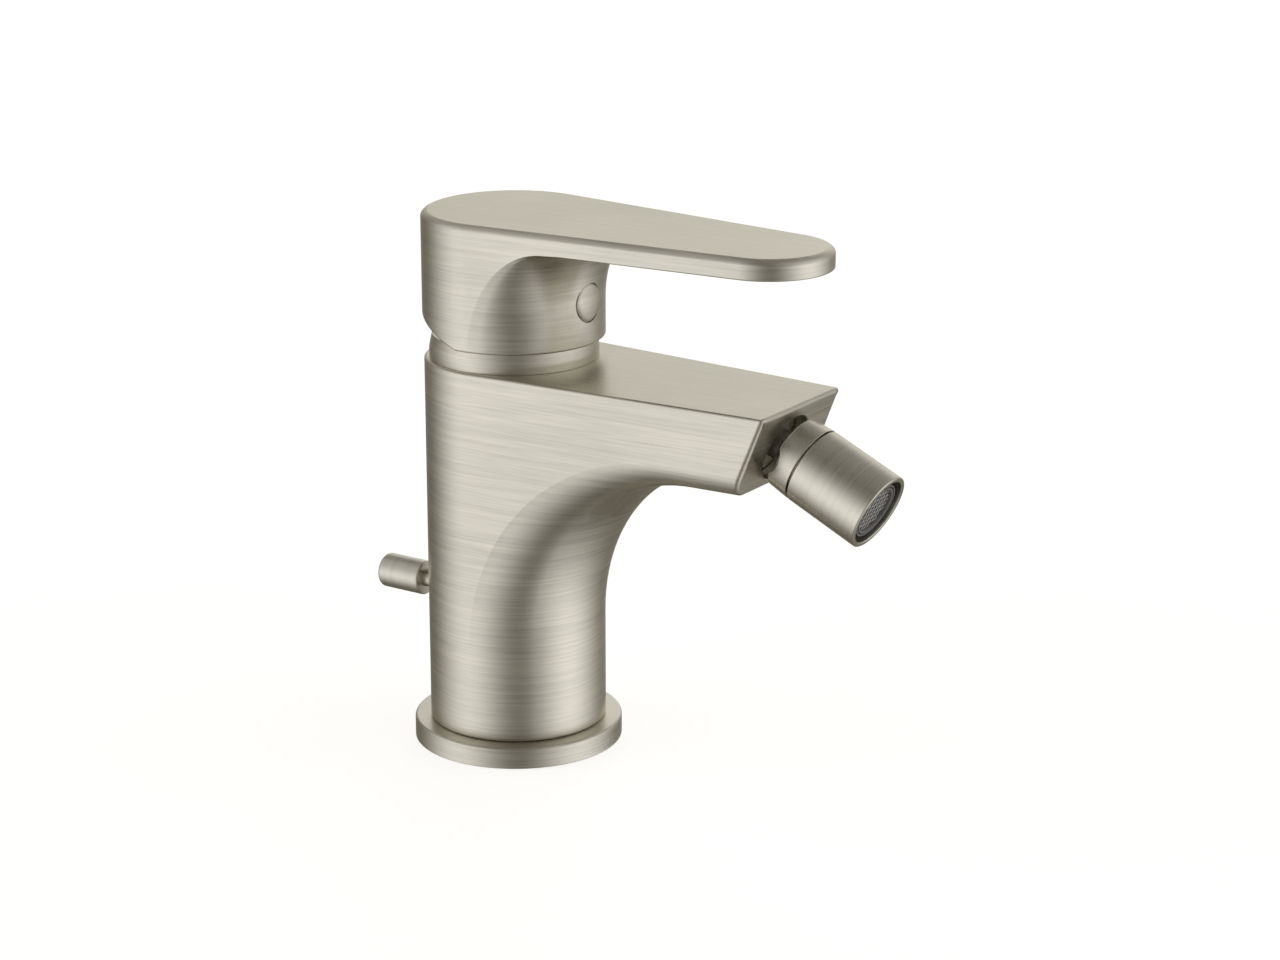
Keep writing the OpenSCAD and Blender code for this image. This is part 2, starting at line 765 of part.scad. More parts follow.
module aerator_sleeve() {
    color(rubber) at_head() translate([0, 0, aerator_back]) difference() {
        cylinder(r = sleeve_r, h = aerator_front - aerator_back - 0.4);
        translate([0, 0, -1]) cylinder(r = sleeve_r - sleeve_wall, h = nozzle_l);
    }
}

module aerator_insert() {
    h = aerator_front - aerator_back;
    color(grey) at_head() translate([0, 0, aerator_back]) difference() {
        cylinder(r = insert_r, h = h);
        // Seat of the screen, and the mixing chamber behind it
        translate([0, 0, h - 1.2]) cylinder(r = screen_r + slack/2, h = 2);
        translate([0, 0, 2]) cylinder(r = screen_r - 0.6, h = h);
        for (a = [0:45:315]) rotate([0, 0, a]) translate([3.4, 0, -1]) cylinder(r = 0.8, h = 4);
        translate([0, 0, -1]) cylinder(r = 0.8, h = 4);
    }
}

module aerator_mesh() {
    pitch = 1.1;
    color(steel) at_head() translate([0, 0, aerator_front - 1.2]) difference() {
        cylinder(r = screen_r, h = 0.5);
        for (i = [-4:4], j = [-4:4])
            if (norm([i, j])*pitch < screen_r - 0.9)
                translate([i*pitch - 0.38, j*pitch - 0.38, -1]) cube([0.76, 0.76, 3]);
    }
}

module pull_knob() {
    e = 0.8;
    color(nickel) translate([knob_front, 0, knob_up]) rotate([0, -90, 0]) difference() {
        rotate_extrude() polygon(concat(
            [[0, 0], [knob_d/2 - 0.2, 0], [knob_d/2, 0.2]],
            arc([knob_d/2 - e, knob_l - e], e, 0, 90, 5),
            [[0, knob_l]]
        ));
        translate([0, 0, -1]) cylinder(r = neck_r, h = 7);
    }
}

// The neck's shoulder stands in a spot face on the rod, and its tip is screwed in
neck_end = -rod_back - rod_r + 0.4;

module knob_pin() {
    color(nickel) {
        translate([knob_front - 6, 0, knob_up]) rotate([0, 90, 0])
            cylinder(r = neck_r, h = neck_end - knob_front + 6);
        translate([neck_end - 1, 0, knob_up]) rotate([0, 90, 0]) cylinder(r = 1.25, h = rod_r + 1.6);
    }
}

module lift_rod() {
    color(steel) difference() {
        translate([-rod_back, 0, rod_foot]) cylinder(r = rod_r, h = rod_top - rod_foot);
        translate([-rod_back - 10, 0, knob_up]) rotate([0, 90, 0])
            cylinder(r = neck_r, h = neck_end + rod_back + 10);
        translate([neck_end - 1, 0, knob_up]) rotate([0, 90, 0]) cylinder(r = 1.25, h = rod_r + 1.6);
        translate([-rod_back, 0, rod_foot - 1]) cylinder(r = 1.65, h = 11);
    }
}

body();
base_ring();
base_seal();
rod_guide();
cartridge_base();
port_seals();
fixed_disc();
cartridge_housing();
cartridge_nut();
cartridge_cover();
ball_stud();
stud_oring();
cartridge_rotor();
stem_pin();
lever_handle();
lever_stem();
grub_screw();
index_cap();
disc_carrier();
moving_disc();
ball_liner();
ball_seal();
swivel_collar();
nozzle_shell();
aerator_gasket();
aerator_sleeve();
aerator_insert();
aerator_mesh();
pull_knob();
knob_pin();
lift_rod();
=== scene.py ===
"""Bidet mixer with a single lever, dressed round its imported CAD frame.

Every surface that shows is rebuilt here with the soft edges of a cast, brushed
and plated fitting, in the frame's own place. Pieces that hide inside the column
keep their CAD shape and get a finish. Lengths are in millimetres until a mesh
is made of them.
"""

import logging
from collections.abc import Sequence
from dataclasses import dataclass
from enum import Enum
from math import acos, asin, atan2, cos, hypot, pi, radians, sin, sqrt, tan

import bmesh
import bpy
from mathutils import Matrix, Vector
from mathutils.geometry import tessellate_polygon


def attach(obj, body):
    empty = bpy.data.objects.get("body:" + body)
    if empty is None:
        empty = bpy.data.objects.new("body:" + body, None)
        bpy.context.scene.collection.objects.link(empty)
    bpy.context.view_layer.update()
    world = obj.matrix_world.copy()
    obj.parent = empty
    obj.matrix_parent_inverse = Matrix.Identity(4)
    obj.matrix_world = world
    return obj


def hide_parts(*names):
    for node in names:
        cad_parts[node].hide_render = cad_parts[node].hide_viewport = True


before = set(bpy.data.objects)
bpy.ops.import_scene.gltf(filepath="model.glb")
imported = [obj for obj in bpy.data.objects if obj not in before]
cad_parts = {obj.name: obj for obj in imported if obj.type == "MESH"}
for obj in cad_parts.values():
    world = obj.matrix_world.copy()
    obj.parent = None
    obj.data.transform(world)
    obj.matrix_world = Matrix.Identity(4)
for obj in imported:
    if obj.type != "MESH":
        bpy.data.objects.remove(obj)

LOG = logging.getLogger("bidet_mixer")
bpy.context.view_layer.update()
MM = 0.001
QUARTER = pi / 2
X_AXIS = Vector((1, 0, 0))
Y_AXIS = Vector((0, 1, 0))
HEAD_LEAN = radians(25)
FACE_LEAN = radians(22)
HEAD_AXIS = (cos(HEAD_LEAN), 0.0, -sin(HEAD_LEAN))
EDGE_SWEEP = radians(62)  # Turn of a fillet that ends in a faint crease
SHARP_ABOVE = 32.0  # Degrees between faces above which an edge stays sharp
MERGE_BELOW = 0.003 * MM
SLIVER_BELOW = 0.002 * MM
GRID_PER_MM = 50  # Fineness at which points are compared with a line

Point = Sequence[float]
Row = Sequence[Point]
Profile = list[tuple[float, float]]
Triple = tuple[float, float, float]
Node = bpy.types.Node
Piece = bpy.types.Object
Socket = bpy.types.NodeSocket


class Body(Enum):
    """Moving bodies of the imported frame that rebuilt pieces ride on."""

    MIXER = "mixer_body"
    LEVER = "lever"
    NOZZLE = "nozzle"
    PULL = "pull_rod"


class Slot(Enum):
    """Material slots of the record, named for the rebuilt pieces but not used by the script."""

    NICKEL = "nickel"
    BRASS = "brass"
    STEEL = "steel"
    GREY = "grey_plastic"
    RUBBER = "rubber"


# ---- points and surfaces


def steps(start: float, end: float, count: int) -> list[float]:
    """Even steps from start to end, both included, with count gaps between them."""
    return [start + (end - start) * i / count for i in range(count + 1)]


def rounded(corners: Sequence[Triple], closed: bool = True, count: int = 6) -> Profile:
    """Turns corners with fillet radii into a smooth polyline.

    Args:
        corners: Radius, height and fillet radius of each corner.
        closed: Whether the last corner joins the first.
        count: Chords in each fillet.

    Returns:
        Points of the polyline.
    """
    made: Profile = []
    last = len(corners) - 1
    for i, (x, y, fillet) in enumerate(corners):
        if fillet == 0 or (not closed and i in (0, last)):
            made.append((x, y))
            continue
        here = Vector((x, y))
        back = (Vector(corners[i - 1][:2]) - here).normalized()
        ahead = (Vector(corners[(i + 1) % len(corners)][:2]) - here).normalized()
        half = back.angle(ahead) / 2
        centre = here + (back + ahead).normalized() * fillet / sin(half)
        first = here + back * fillet / tan(half) - centre
        end = here + ahead * fillet / tan(half) - centre
        sweep = atan2(first.x * end.y - first.y * end.x, first.dot(end))
        start = atan2(first.y, first.x)
        made += [(centre.x + fillet * cos(start + a), centre.y + fillet * sin(start + a))
                 for a in steps(0, sweep, count)]
    return made


def soft_edge(count: int) -> Profile:
    """Fillet that runs out in a faint crease, as shares of its inset and rise."""
    return [((1 - cos(a)) / (1 - cos(EDGE_SWEEP)), sin(a) / sin(EDGE_SWEEP))
            for a in steps(0, EDGE_SWEEP, count)]


def cylinder(radius: float, low: float, high: float) -> Profile:
    """Profile of a solid cylinder between two heights."""
    return [(0, low), (radius, low), (radius, high), (0, high)]


def direction(angle: float) -> Vector:
    """Level direction at an angle from the X axis."""
    return Vector((cos(angle), sin(angle)))


def arc(radius: float, z: float, angles: Sequence[float]) -> list[Point]:
    """Points at one radius and height round the Z axis."""
    return [(radius * cos(a), radius * sin(a), z) for a in angles]


def ring(radius: float, z: float, count: int = 96) -> list[Point]:
    """Points of a level circle round the Z axis."""
    return arc(radius, z, steps(0, 2 * pi, count)[:-1])


def at_height(row: Row, z: float) -> list[Point]:
    """The same points, all moved to one height."""
    return [(x, y, z) for x, y, _ in row]


def between(low: Row, high: Row, shares: Sequence[float]) -> list[list[Point]]:
    """Rows at shares of the way from one row of points to another."""
    return [[tuple(a + (b - a) * k for a, b in zip(p, q)) for p, q in zip(low, high)] for k in shares]


def mirrored(row: Row) -> list[Point]:
    """Mirror image of a row of points in the XZ plane."""
    return [(x, -y, z) for x, y, z in row]


def whole(half: list[Point]) -> list[Point]:
    """Closed outline from its half, whose two ends lie in the XZ plane."""
    return half + mirrored(half)[-2:0:-1]


def turned(spot: Point, angle: float) -> Matrix:
    """Frame at a spot, with its +Z turned from upright round the Y axis."""
    return Matrix.Translation(spot) @ Matrix.Rotation(angle, 4, "Y")


class Skin:
    """Surface in the making, with its points in millimetres.

    Args:
        place: Where the surface's own frame lies in the part's frame.
    """

    def __init__(self, place: Matrix | None = None) -> None:
        self.place = place or Matrix.Identity(4)
        self.points: list[Vector] = []
        self.faces: list[tuple[int, ...]] = []

    def _add(self, row: Row) -> list[int]:
        """Adds points and returns their indices."""
        first = len(self.points)
        self.points += [self.place @ Vector(p) for p in row]
        return list(range(first, len(self.points)))

    def grid(self, rows: Sequence[Row], closed: bool = False) -> None:
        """Lays quads between rows of points.

        Args:
            rows: Rows with one number of points each.
            closed: Whether each row's last point joins its first.
        """
        index = [self._add(row) for row in rows]
        width = len(index[0])
        for low, high in zip(index, index[1:]):
            for j in range(width if closed else width - 1):
                k = (j + 1) % width
                self.faces.append((low[j], low[k], high[k], high[j]))

    def halves(self, rows: Sequence[Row]) -> None:
        """Lays a grid and its mirror image in the XZ plane."""
        self.grid(rows)
        self.grid([mirrored(row) for row in rows])

    def cap(self, loop: Row) -> None:
        """Closes a flat loop with one face."""
        self.faces.append(tuple(self._add(loop)))

    def fill(self, loops: Sequence[Row], across: Vector = X_AXIS, up: Vector = Y_AXIS) -> None:
        """Fills a flat outline that may have holes.

        Args:
            loops: Outline first, then the holes.
            across: First direction in the outline's plane.
            up: Second direction in the outline's plane.
        """
        index = [i for loop in loops for i in self._add(loop)]
        flat = [[Vector((Vector(p).dot(across), Vector(p).dot(up), 0)) for p in loop] for loop in loops]
        self.faces += [tuple(index[i] for i in corner) for corner in tessellate_polygon(flat)]

    def lathe(self, profile: Profile, closed: bool = True, count: int = 96) -> None:
        """Turns a profile round the Z axis.

        Args:
            profile: Radius and height of each point.
            closed: Whether the profile's end joins its start.
            count: Chords round the axis.
        """
        rows = [ring(r, z, count) for r, z in profile]
        self.grid(rows + rows[:1] if closed else rows, closed=True)

    def build(self, name: str, crease: float = SHARP_ABOVE) -> Piece:
        """Makes the object, smooth but for its sharp edges.

        Args:
            name: Name of the piece.
            crease: Degrees above which an edge stays sharp.

        Returns:
            The new object.
        """
        mesh = bpy.data.meshes.new(name)
        mesh.from_pydata([p * MM for p in self.points], [], self.faces)
        made = bpy.data.objects.new(name, mesh)
        bpy.context.scene.collection.objects.link(made)
        tidy(made, crease)
        return made


def tidy(piece: Piece, crease: float) -> None:
    """Joins double points, turns faces outwards and marks sharp edges.

    Args:
        piece: Object whose mesh is cleaned.
        crease: Degrees above which an edge stays sharp.
    """
    mesh = piece.data
    work = bmesh.new()
    work.from_mesh(mesh)
    bmesh.ops.remove_doubles(work, verts=work.verts, dist=MERGE_BELOW)
    bmesh.ops.dissolve_degenerate(work, edges=work.edges, dist=SLIVER_BELOW)
    bmesh.ops.recalc_face_normals(work, faces=work.faces)
    for face in work.faces:
        face.smooth = True
    work.to_mesh(mesh)
    work.free()
    mesh.set_sharp_from_angle(angle=radians(crease))
    even = piece.modifiers.new("even shading", "WEIGHTED_NORMAL")
    even.keep_sharp = True


def crease_along(piece: Piece, line: list[Point]) -> None:
    """Marks a piece's edges on a line, and on its mirror image, as sharp."""
    spots = {tuple(round(c * GRID_PER_MM) for c in p) for p in line + mirrored(line)}
    mesh = piece.data
    on_line = [tuple(round(c / MM * GRID_PER_MM) for c in v.co) in spots for v in mesh.vertices]
    for edge in mesh.edges:
        if all(on_line[i] for i in edge.vertices):
            edge.use_edge_sharp = True


def cut(piece: Piece, cutter: Skin, union: bool = False, crease: float = SHARP_ABOVE) -> None:
    """Cuts a closed skin out of a piece, or joins it on, and removes the skin.

    Args:
        piece: Object that is changed.
        cutter: Closed skin in the part's frame.
        union: Joins the skin on where true.
        crease: Degrees above which an edge stays sharp.
    """
    tool = cutter.build("cutter")
    piece.modifiers.clear()
    tool.modifiers.clear()
    work = piece.modifiers.new("cut", "BOOLEAN")
    work.operation = "UNION" if union else "DIFFERENCE"
    work.solver = "EXACT"
    work.object = tool
    seen = piece.evaluated_get(bpy.context.evaluated_depsgraph_get())
    piece.data = bpy.data.meshes.new_from_object(seen)
    piece.modifiers.clear()
    bpy.data.objects.remove(tool)
    tidy(piece, crease)


# ---- finishes


class Graph:
    """Node tree of a material or world, with short calls for its nodes.

    Args:
        owner: Material or world that the nodes belong to.
    """

    NOISE_SPAN = (0.3, 0.7)
    BUMP_DEPTH = 0.05 * MM

    def __init__(self, owner: bpy.types.Material | bpy.types.World) -> None:
        self.owner = owner
        owner.use_nodes = True
        self.tree = owner.node_tree
        self.tree.nodes.clear()

    def node(self, kind: str, inputs: dict[str | int, object] | None = None, **settings: object) -> Node:
        """Adds a node.

        Args:
            kind: Type name of the node, after ShaderNode.
            inputs: Values or sockets for its inputs.
            settings: Values for its own properties.

        Returns:
            The new node.
        """
        made = self.tree.nodes.new("ShaderNode" + kind)
        for name, value in settings.items():
            setattr(made, name, value)
        for name, value in (inputs or {}).items():
            socket = made.inputs[name]
            if isinstance(value, Socket):
                self.tree.links.new(value, socket)
            else:
                socket.default_value = value
        return made

    def math(self, operation: str, *values: object) -> Socket:
        """Result of a Math node on values or sockets."""
        return self.node("Math", dict(enumerate(values)), operation=operation).outputs[0]

    def vector(self, operation: str, *values: object) -> Socket:
        """Result of a Vector Math node on values or sockets."""
        made = self.node("VectorMath", dict(enumerate(values)), operation=operation)
        return made.outputs["Value" if operation == "DOT_PRODUCT" else "Vector"]

    def scaled(self, vector: object, factor: object) -> Socket:
        """A vector times a number."""
        made = self.node("VectorMath", {0: vector, "Scale": factor}, operation="SCALE")
        return made.outputs["Vector"]

    def weighed(self, first: object, second: object, share: float) -> Socket:
        """Mean of two values, weighed by the first one's share."""
        return self.math("ADD", self.math("MULTIPLY", first, share), self.math("MULTIPLY", second, 1 - share))

    def place(self) -> Socket:
        """Position in the piece's own frame, in millimetres."""
        return self.scaled(self.node("TexCoord").outputs["Object"], 1 / MM)

    def ray(self, kind: str) -> Socket:
        """1 for rays of one kind and 0 for all others."""
        return self.node("LightPath").outputs[f"Is {kind} Ray"]

    def noise(self, vector: object, w: object, detail: float = 2, roughness: float = 0.5) -> Socket:
        """Value of a four-dimensional noise."""
        inputs = {"Vector": vector, "W": w, "Scale": 1.0, "Detail": detail, "Roughness": roughness}
        return self.node("TexNoise", inputs, noise_dimensions="4D").outputs["Fac"]

    def mapped(self, value: object, span: Point, low: float, high: float, **settings: object) -> Socket:
        """Maps a value from a span onto low to high."""
        inputs = {"Value": value, "From Min": span[0], "From Max": span[1], "To Min": low, "To Max": high}
        return self.node("MapRange", inputs, **settings).outputs["Result"]

    def spread(self, noise: object, low: float, high: float) -> Socket:
        """Maps a noise from its usual span onto low to high."""
        return self.mapped(noise, self.NOISE_SPAN, low, high)

    def bump(self, height: object, strength: float) -> Socket:
        """Normal that a height from 0 to 1 tilts."""
        inputs = {"Height": height, "Strength": strength, "Distance": self.BUMP_DEPTH}
        return self.node("Bump", inputs).outputs[0]

    def finish(self, shader: Node, kind: str = "Material") -> bpy.types.Material | bpy.types.World:
        """Links a shader to the output and returns the owner."""
        self.node("Output" + kind, {"Surface": shader.outputs[0]})
        return self.owner


@dataclass(frozen=True)
class Finish:
    """Procedural finish of a piece.

    Attributes:
        name: Name of the material.
        colour: Linear base colour.
        roughness: Middle roughness.
        contrast: Share by which its lines or grain change the colour.
        relief: Strength of their bump.
    """

    name: str
    colour: Triple
    roughness: float = 0.3
    contrast: float = 0.27
    relief: float = 0.18

    def material(self) -> bpy.types.Material:
        """Material of the finish, built once."""
        if self.name in bpy.data.materials:
            return bpy.data.materials[self.name]
        g = Graph(bpy.data.materials.new(self.name))
        return g.finish(self._shader(g))

    def _shader(self, g: Graph) -> Node:
        """Shader node of the finish."""
        raise NotImplementedError

    def _base(self, g: Graph, tone: object) -> Socket:
        """Base colour, changed by a tone."""
        return g.scaled(self.colour, g.spread(tone, 1 - self.contrast, 1 + self.contrast))


FINE_LINES = (0.045, 2.3, 0.7)  # Changes per millimetre along and across them, and roughness
BROAD_LINES = (0.022, 0.7, 0.6)


@dataclass(frozen=True)
class BrushedMetal(Finish):
    """Plated or bare metal with fine lines that run round an axis.

    Attributes:
        axis: Axis that the lines run round.
        anisotropy: How far highlights stretch across the lines.
        level_lines: Lines on faces that look up or down run along X.
    """

    TINT = (1.0, 0.99, 0.92, 1.0)
    LEVEL_SPAN = (0.62, 0.8)
    FINE_SHARE = 0.6
    LINE_SHARE = 0.8
    CLOUDS = 0.03

    axis: Triple = (0, 0, 1)
    anisotropy: float = 0.5
    level_lines: bool = False

    def _shader(self, g: Graph) -> Node:
        """Metal whose colour, roughness and bump follow the lines."""
        spot = g.place()
        across: object = g.vector("DOT_PRODUCT", spot, self.axis)
        stretch: object = self.axis
        if self.level_lines:
            facing = g.node("TexCoord").outputs["Normal"]
            lean = g.math("ABSOLUTE", g.vector("DOT_PRODUCT", facing, (0, 0, 1)))
            level = g.mapped(lean, self.LEVEL_SPAN, 0.0, 1.0, interpolation_type="SMOOTHSTEP")
            side = g.math("MULTIPLY", g.vector("DOT_PRODUCT", spot, Y_AXIS), level)
            across = g.math("ADD", across, side)
            upright = g.scaled(self.axis, g.math("SUBTRACT", 1.0, level))
            stretch = g.vector("ADD", g.scaled(Y_AXIS, level), upright)
        fine, broad = (g.noise(g.scaled(spot, along), g.math("MULTIPLY", across, pitch), 3, roughness)
                       for along, pitch, roughness in (FINE_LINES, BROAD_LINES))
        cloud = g.noise(g.scaled(spot, self.CLOUDS), 0.0)
        lines = g.weighed(fine, broad, self.FINE_SHARE)
        turn = g.node("VectorTransform", {"Vector": stretch}, vector_type="VECTOR", convert_from="OBJECT",
                      convert_to="WORLD")
        return g.node("BsdfPrincipled", {
            "Base Color": self._base(g, g.weighed(lines, cloud, self.LINE_SHARE)), "Metallic": 1.0,
            "Roughness": g.spread(lines, self.roughness - 0.05, self.roughness + 0.06),
            "Anisotropic": self.anisotropy, "Specular Tint": self.TINT,
            "Normal": g.bump(fine, self.relief), "Tangent": turn.outputs[0]})


@dataclass(frozen=True)
class Moulded(Finish):
    """Moulded plastic, rubber or lapped ceramic with a faint grain.

    Attributes:
        grain: Grains per millimetre.
    """

    roughness: float = 0.45
    contrast: float = 0.08
    relief: float = 0.1
    grain: float = 3.0

    def _shader(self, g: Graph) -> Node:
        """Dull shader whose colour, roughness and bump follow the grain."""
        spot = g.place()
        grain = g.noise(g.scaled(spot, self.grain), 0.0, 3, 0.6)
        cloud = g.noise(g.scaled(spot, 0.15), 3.0)
        return g.node("BsdfPrincipled", {
            "Base Color": self._base(g, g.weighed(grain, cloud, 0.5)),
            "Roughness": g.spread(grain, self.roughness - 0.05, self.roughness + 0.05),
            "Normal": g.bump(grain, self.relief)})


NICKEL_TONE = (0.66, 0.635, 0.57)
NICKEL_CAST = BrushedMetal("brushed nickel, cast", NICKEL_TONE, level_lines=True)
NICKEL_RING = BrushedMetal("brushed nickel, turned", NICKEL_TONE)
NICKEL_HEAD = BrushedMetal("brushed nickel, outlet", NICKEL_TONE, axis=HEAD_AXIS, roughness=0.26, contrast=0.16)
NICKEL_PULL = BrushedMetal("brushed nickel, pull", NICKEL_TONE, axis=(1, 0, 0))
BRASS_RING = BrushedMetal("turned brass", (0.68, 0.5, 0.22))
# Grey tone of the turned stud, set darker than the nickel partly as painted shade of the face's recess
STUD_WITH_PAINTED_SHADE = BrushedMetal("turned stud, with painted recess shade", (0.52, 0.5, 0.44), axis=HEAD_AXIS, roughness=0.42)
STEEL_ROD = BrushedMetal("drawn steel", (0.5, 0.5, 0.51), axis=(1, 0, 0), roughness=0.28)
STEEL_MESH = BrushedMetal("woven steel", (0.5, 0.5, 0.49), axis=HEAD_AXIS, roughness=0.36, contrast=0.08)
CERAMIC = Moulded("lapped ceramic", (0.85, 0.85, 0.8), roughness=0.2, contrast=0.03, relief=0.02)
PLASTIC = Moulded("cartridge plastic", (0.72, 0.72, 0.7), roughness=0.42)
GREY = Moulded("grey plastic", (0.27, 0.27, 0.27), roughness=0.36)
RUBBER = Moulded("black rubber", (0.018, 0.018, 0.019), roughness=0.55, grain=5, relief=0.2)


def dress(piece: Piece, finish: Finish) -> None:
    """Puts a finish in every material slot of a piece."""
    if not piece.data.materials:
        piece.data.materials.append(None)
    for i in range(len(piece.data.materials)):
        piece.data.materials[i] = finish.material()


def settle(piece: Piece, finish: Finish, body: Body, slot: Slot, *nodes: str) -> None:
    """Dresses a new piece and ties it to the frame.

    Args:
        piece: The new object.
        finish: Its finish.
        body: Body that it moves with.
        slot: Slot of the record meant for its finish; not used.
        nodes: CAD nodes that it stands for.
    """
    dress(piece, finish)
    if nodes:
        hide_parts(*nodes)
    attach(piece, body.value)
    LOG.info("%s stands for %s", piece.name, ", ".join(nodes) or "detail")


# ---- castings


class Flanked:
    """Casting with flat flanks that leave a round column at a tangent."""

    root: Vector
    slope: float

    def flank_y(self, x: float) -> float:
        """Half width at x."""
        return self.root.y - (x - self.root.x) * self.slope

    def flat_flank(self, crease: Row) -> list[list[Point]]:
        """Rows on the flank, from the column to each point of a crease."""
        return [[(x, self.flank_y(x), z) for x in steps(self.root.x, end, 6)] for end, _, z in crease]


@dataclass
class Station:
    """One line along the spout, by its place in the cross-section.

    Attributes:
        inset: Distance inside the flank, square to it.
        z: Height.
        share: Share of the remaining half width.
        inward: Direction into the metal, across and up.
        hollow: Share of the hollow beside the arch's crease.
    """

    inset: float
    z: float
    share: float
    inward: tuple[float, float]
    hollow: float = 0.0


UNDER_BORES = (  # Place along and across the spout, and profile, of each bore from below
    (0, 0, cylinder(3.4, -1, 14.5)),  # Fixing stud
    (-3, 10, cylinder(4.5, -1, 14)),  # Inlets
    (-3, -10, cylinder(4.5, -1, 14)),
    (-13.6, 0, [(0, -1), (4.2, -1), (4.2, 6.5), (3.0, 6.5), (3.0, 59.4), (0, 59.4)]),  # Lift rod
)
CARTRIDGE_BORE = [(19.0, 98.5), (19.0, 90.0), (17.6, 90.0), (17.6, 70.0)]
FACE_RECESS = [(8.85, 0, 0), (8.6, -0.25, 0), (8.6, -5.0, 0.2), (6.0, -5.0, 0), (6.0, -10.5, 0)]
INDEX_BOSS = cylinder(6.15, 5, 21.3)
INDEX_SEAT = [(0, 3), (2.5, 3), (2.5, 19.4), (4.85, 19.4), (4.85, 26), (0, 26)]


@dataclass
class CastBody(Flanked):
    """Round column and tapered spout of the casting, lofted over an arch."""

    radius: float = 22.0
    top: float = 98.5
    foot: float = 5.4
    foot_round: float = 0.8
    spigot: float = 19.0
    spigot_foot: float = 0.5
    reach: float = 82.0
    tip_half: float = 17.3
    depth: float = 20.3
    under_round: float = 5.6
    under_turn: float = radians(44.6)
    flank_sweep: float = 55.0
    middle_sweep: float = 43.0
    arch_turn: float = radians(76)
    arch_hollow: float = 2.0
    edge: float = 0.6
    face_edge: float = 1.2
    outlet_drop: float = 12.19425
    slot_half: float = 2.45
    slot_top: float = 53.4
    slot_foot: float = 35.4
    slot_ends: tuple[float, float] = (-11.0, -30.0)
    rows: int = 34

    def __post_init__(self) -> None:
        """Works out the flank and the stations round the spout."""
        touch = acos(self.radius / hypot(self.reach, self.tip_half))
        self.turn = atan2(self.tip_half, self.reach) + touch
        self.root = direction(self.turn) * self.radius
        self.slope = 1 / tan(self.turn)
        self.lower = self.top - self.depth
        self.round_z = self.lower + self.under_round
        self.crease_x = self.root.x + self.flank_sweep
        self.under = self._under_stations()
        self.side = self._side_stations()
        self.over = [Station(self.edge, self.top, share, (0, -1)) for share in steps(1, 0, 8)[1:]]
        self.rear = steps(self.turn, pi, 44)

    def _under_stations(self) -> list[Station]:
        """Stations from the middle of the underside to the flank."""
        made = [Station(self.under_round, self.lower, sin(t) / sin(self.under_turn), (0, 1))
                for t in steps(0, self.under_turn, 10)]
        for u in steps(1, 0, 12)[1:]:
            c, s = cos(u * QUARTER), sin(u * QUARTER)
            made.append(Station(self.under_round * (1 - c), self.round_z - self.under_round * s, 1, (-c, s),
                                u * (1 - u) ** 2))
        return made

    def _side_stations(self) -> list[Station]:
        """Stations up the flank and over the edge of the top."""
        made = [Station(0, z, 1, (-1, 0)) for z in steps(self.round_z, self.top - self.edge, 6)]
        for a, (inset, rise) in list(zip(steps(0, QUARTER, 5), soft_edge(5)))[1:]:
            made.append(Station(self.edge * inset, self.top - self.edge * (1 - rise), 1, (-cos(a), -sin(a))))
        return made

    def face_x(self, z: float) -> float:
        """Where the leaning face is at height z."""
        return self.reach - (self.top - z) * tan(FACE_LEAN)

    def lip(self, spot: Station) -> float:
        """Size of the face's edge fillet at a station; it is smaller below."""
        return self.face_edge * (0.5 + 0.5 * min(1.0, (spot.z - self.lower) / self.under_round))

    def flat_end(self, spot: Station) -> float:
        """Where a station meets the face's edge fillet."""
        return self.face_x(spot.z) - self.lip(spot)

    def at(self, spot: Station, x: float, lift: float = 0) -> Point:
        """Point of a station at x, moved into the metal by lift."""
        y = spot.share * (self.flank_y(x) - spot.inset / sin(self.turn)) + spot.inward[0] * lift
        return (x, y, spot.z + spot.inward[1] * lift)

    def spread(self, spot: Station) -> Triple:
        """Place of a station across the arch.

        Returns:
            Share of the half width, share of the way to the middle, and where the arch ends there.
        """
        level = cos(self.arch_turn)
        side, middle, x = 1.0, 0.0, self.crease_x
        for _ in range(4):
            side = min(1.0, self.at(spot, x)[1] / self.flank_y(x))
            middle = (sqrt(1 - (side * sin(self.arch_turn)) ** 2) - level) / (1 - level)
            x = self.crease_x + (self.radius + self.middle_sweep - self.crease_x) * middle
        return side, middle, x

    def arch_line(self, spot: Station) -> list[Point]:
        """Line that leaves the column upright and ends level under the spout."""
        side, middle, end_x = self.spread(spot)
        rise = self.flank_sweep - (self.flank_sweep - self.middle_sweep) * middle
        start = direction(asin(sin(self.turn) * side)) * self.radius
        end = Vector(self.at(spot, end_x))
        line = []
        for a in steps(0, QUARTER, self.rows):
            run = 1 - cos(a)
            hollow = self.arch_hollow * spot.hollow * sin(2 * a) * cos(a)
            line.append((start.x + (end.x - start.x) * run, start.y + (end.y - start.y) * run - hollow,
                         end.z - rise * (1 - sin(a))))
        return line

    def face_row(self, angle: float) -> list[Point]:
        """Points round the spout's end at one step of the face's edge fillet."""
        row = []
        for spot in self.under + self.side[1:] + self.over:
            lift = self.lip(spot) * (1 - cos(angle))
            z = spot.z + spot.inward[1] * lift
            row.append(self.at(spot, self.face_x(z) - self.lip(spot) * (1 - sin(angle)), lift))
        return row

    def flank_row(self, spot: Station) -> list[Point]:
        """Points along the flank, from the column to the face's fillet."""
        start = (self.radius - spot.inset) * cos(self.turn)
        places = steps(start, self.crease_x, 6) + steps(self.crease_x, self.flat_end(spot), 8)[1:]
        return [self.at(spot, x) for x in places]

    def top_edge(self) -> list[Point]:
        """Half outline of the flat top, from the back to the face."""
        return arc(self.radius - self.edge, self.top, self.rear[::-1]) + self.flank_row(self.side[-1])[1:]

    def skin(self) -> Skin:
        """Lays all surfaces of the casting."""
        skin = Skin()
        arch = [self.arch_line(spot) for spot in self.under]
        crease = arch[-1]
        skin.halves(arch)
        self._column(skin, arch)
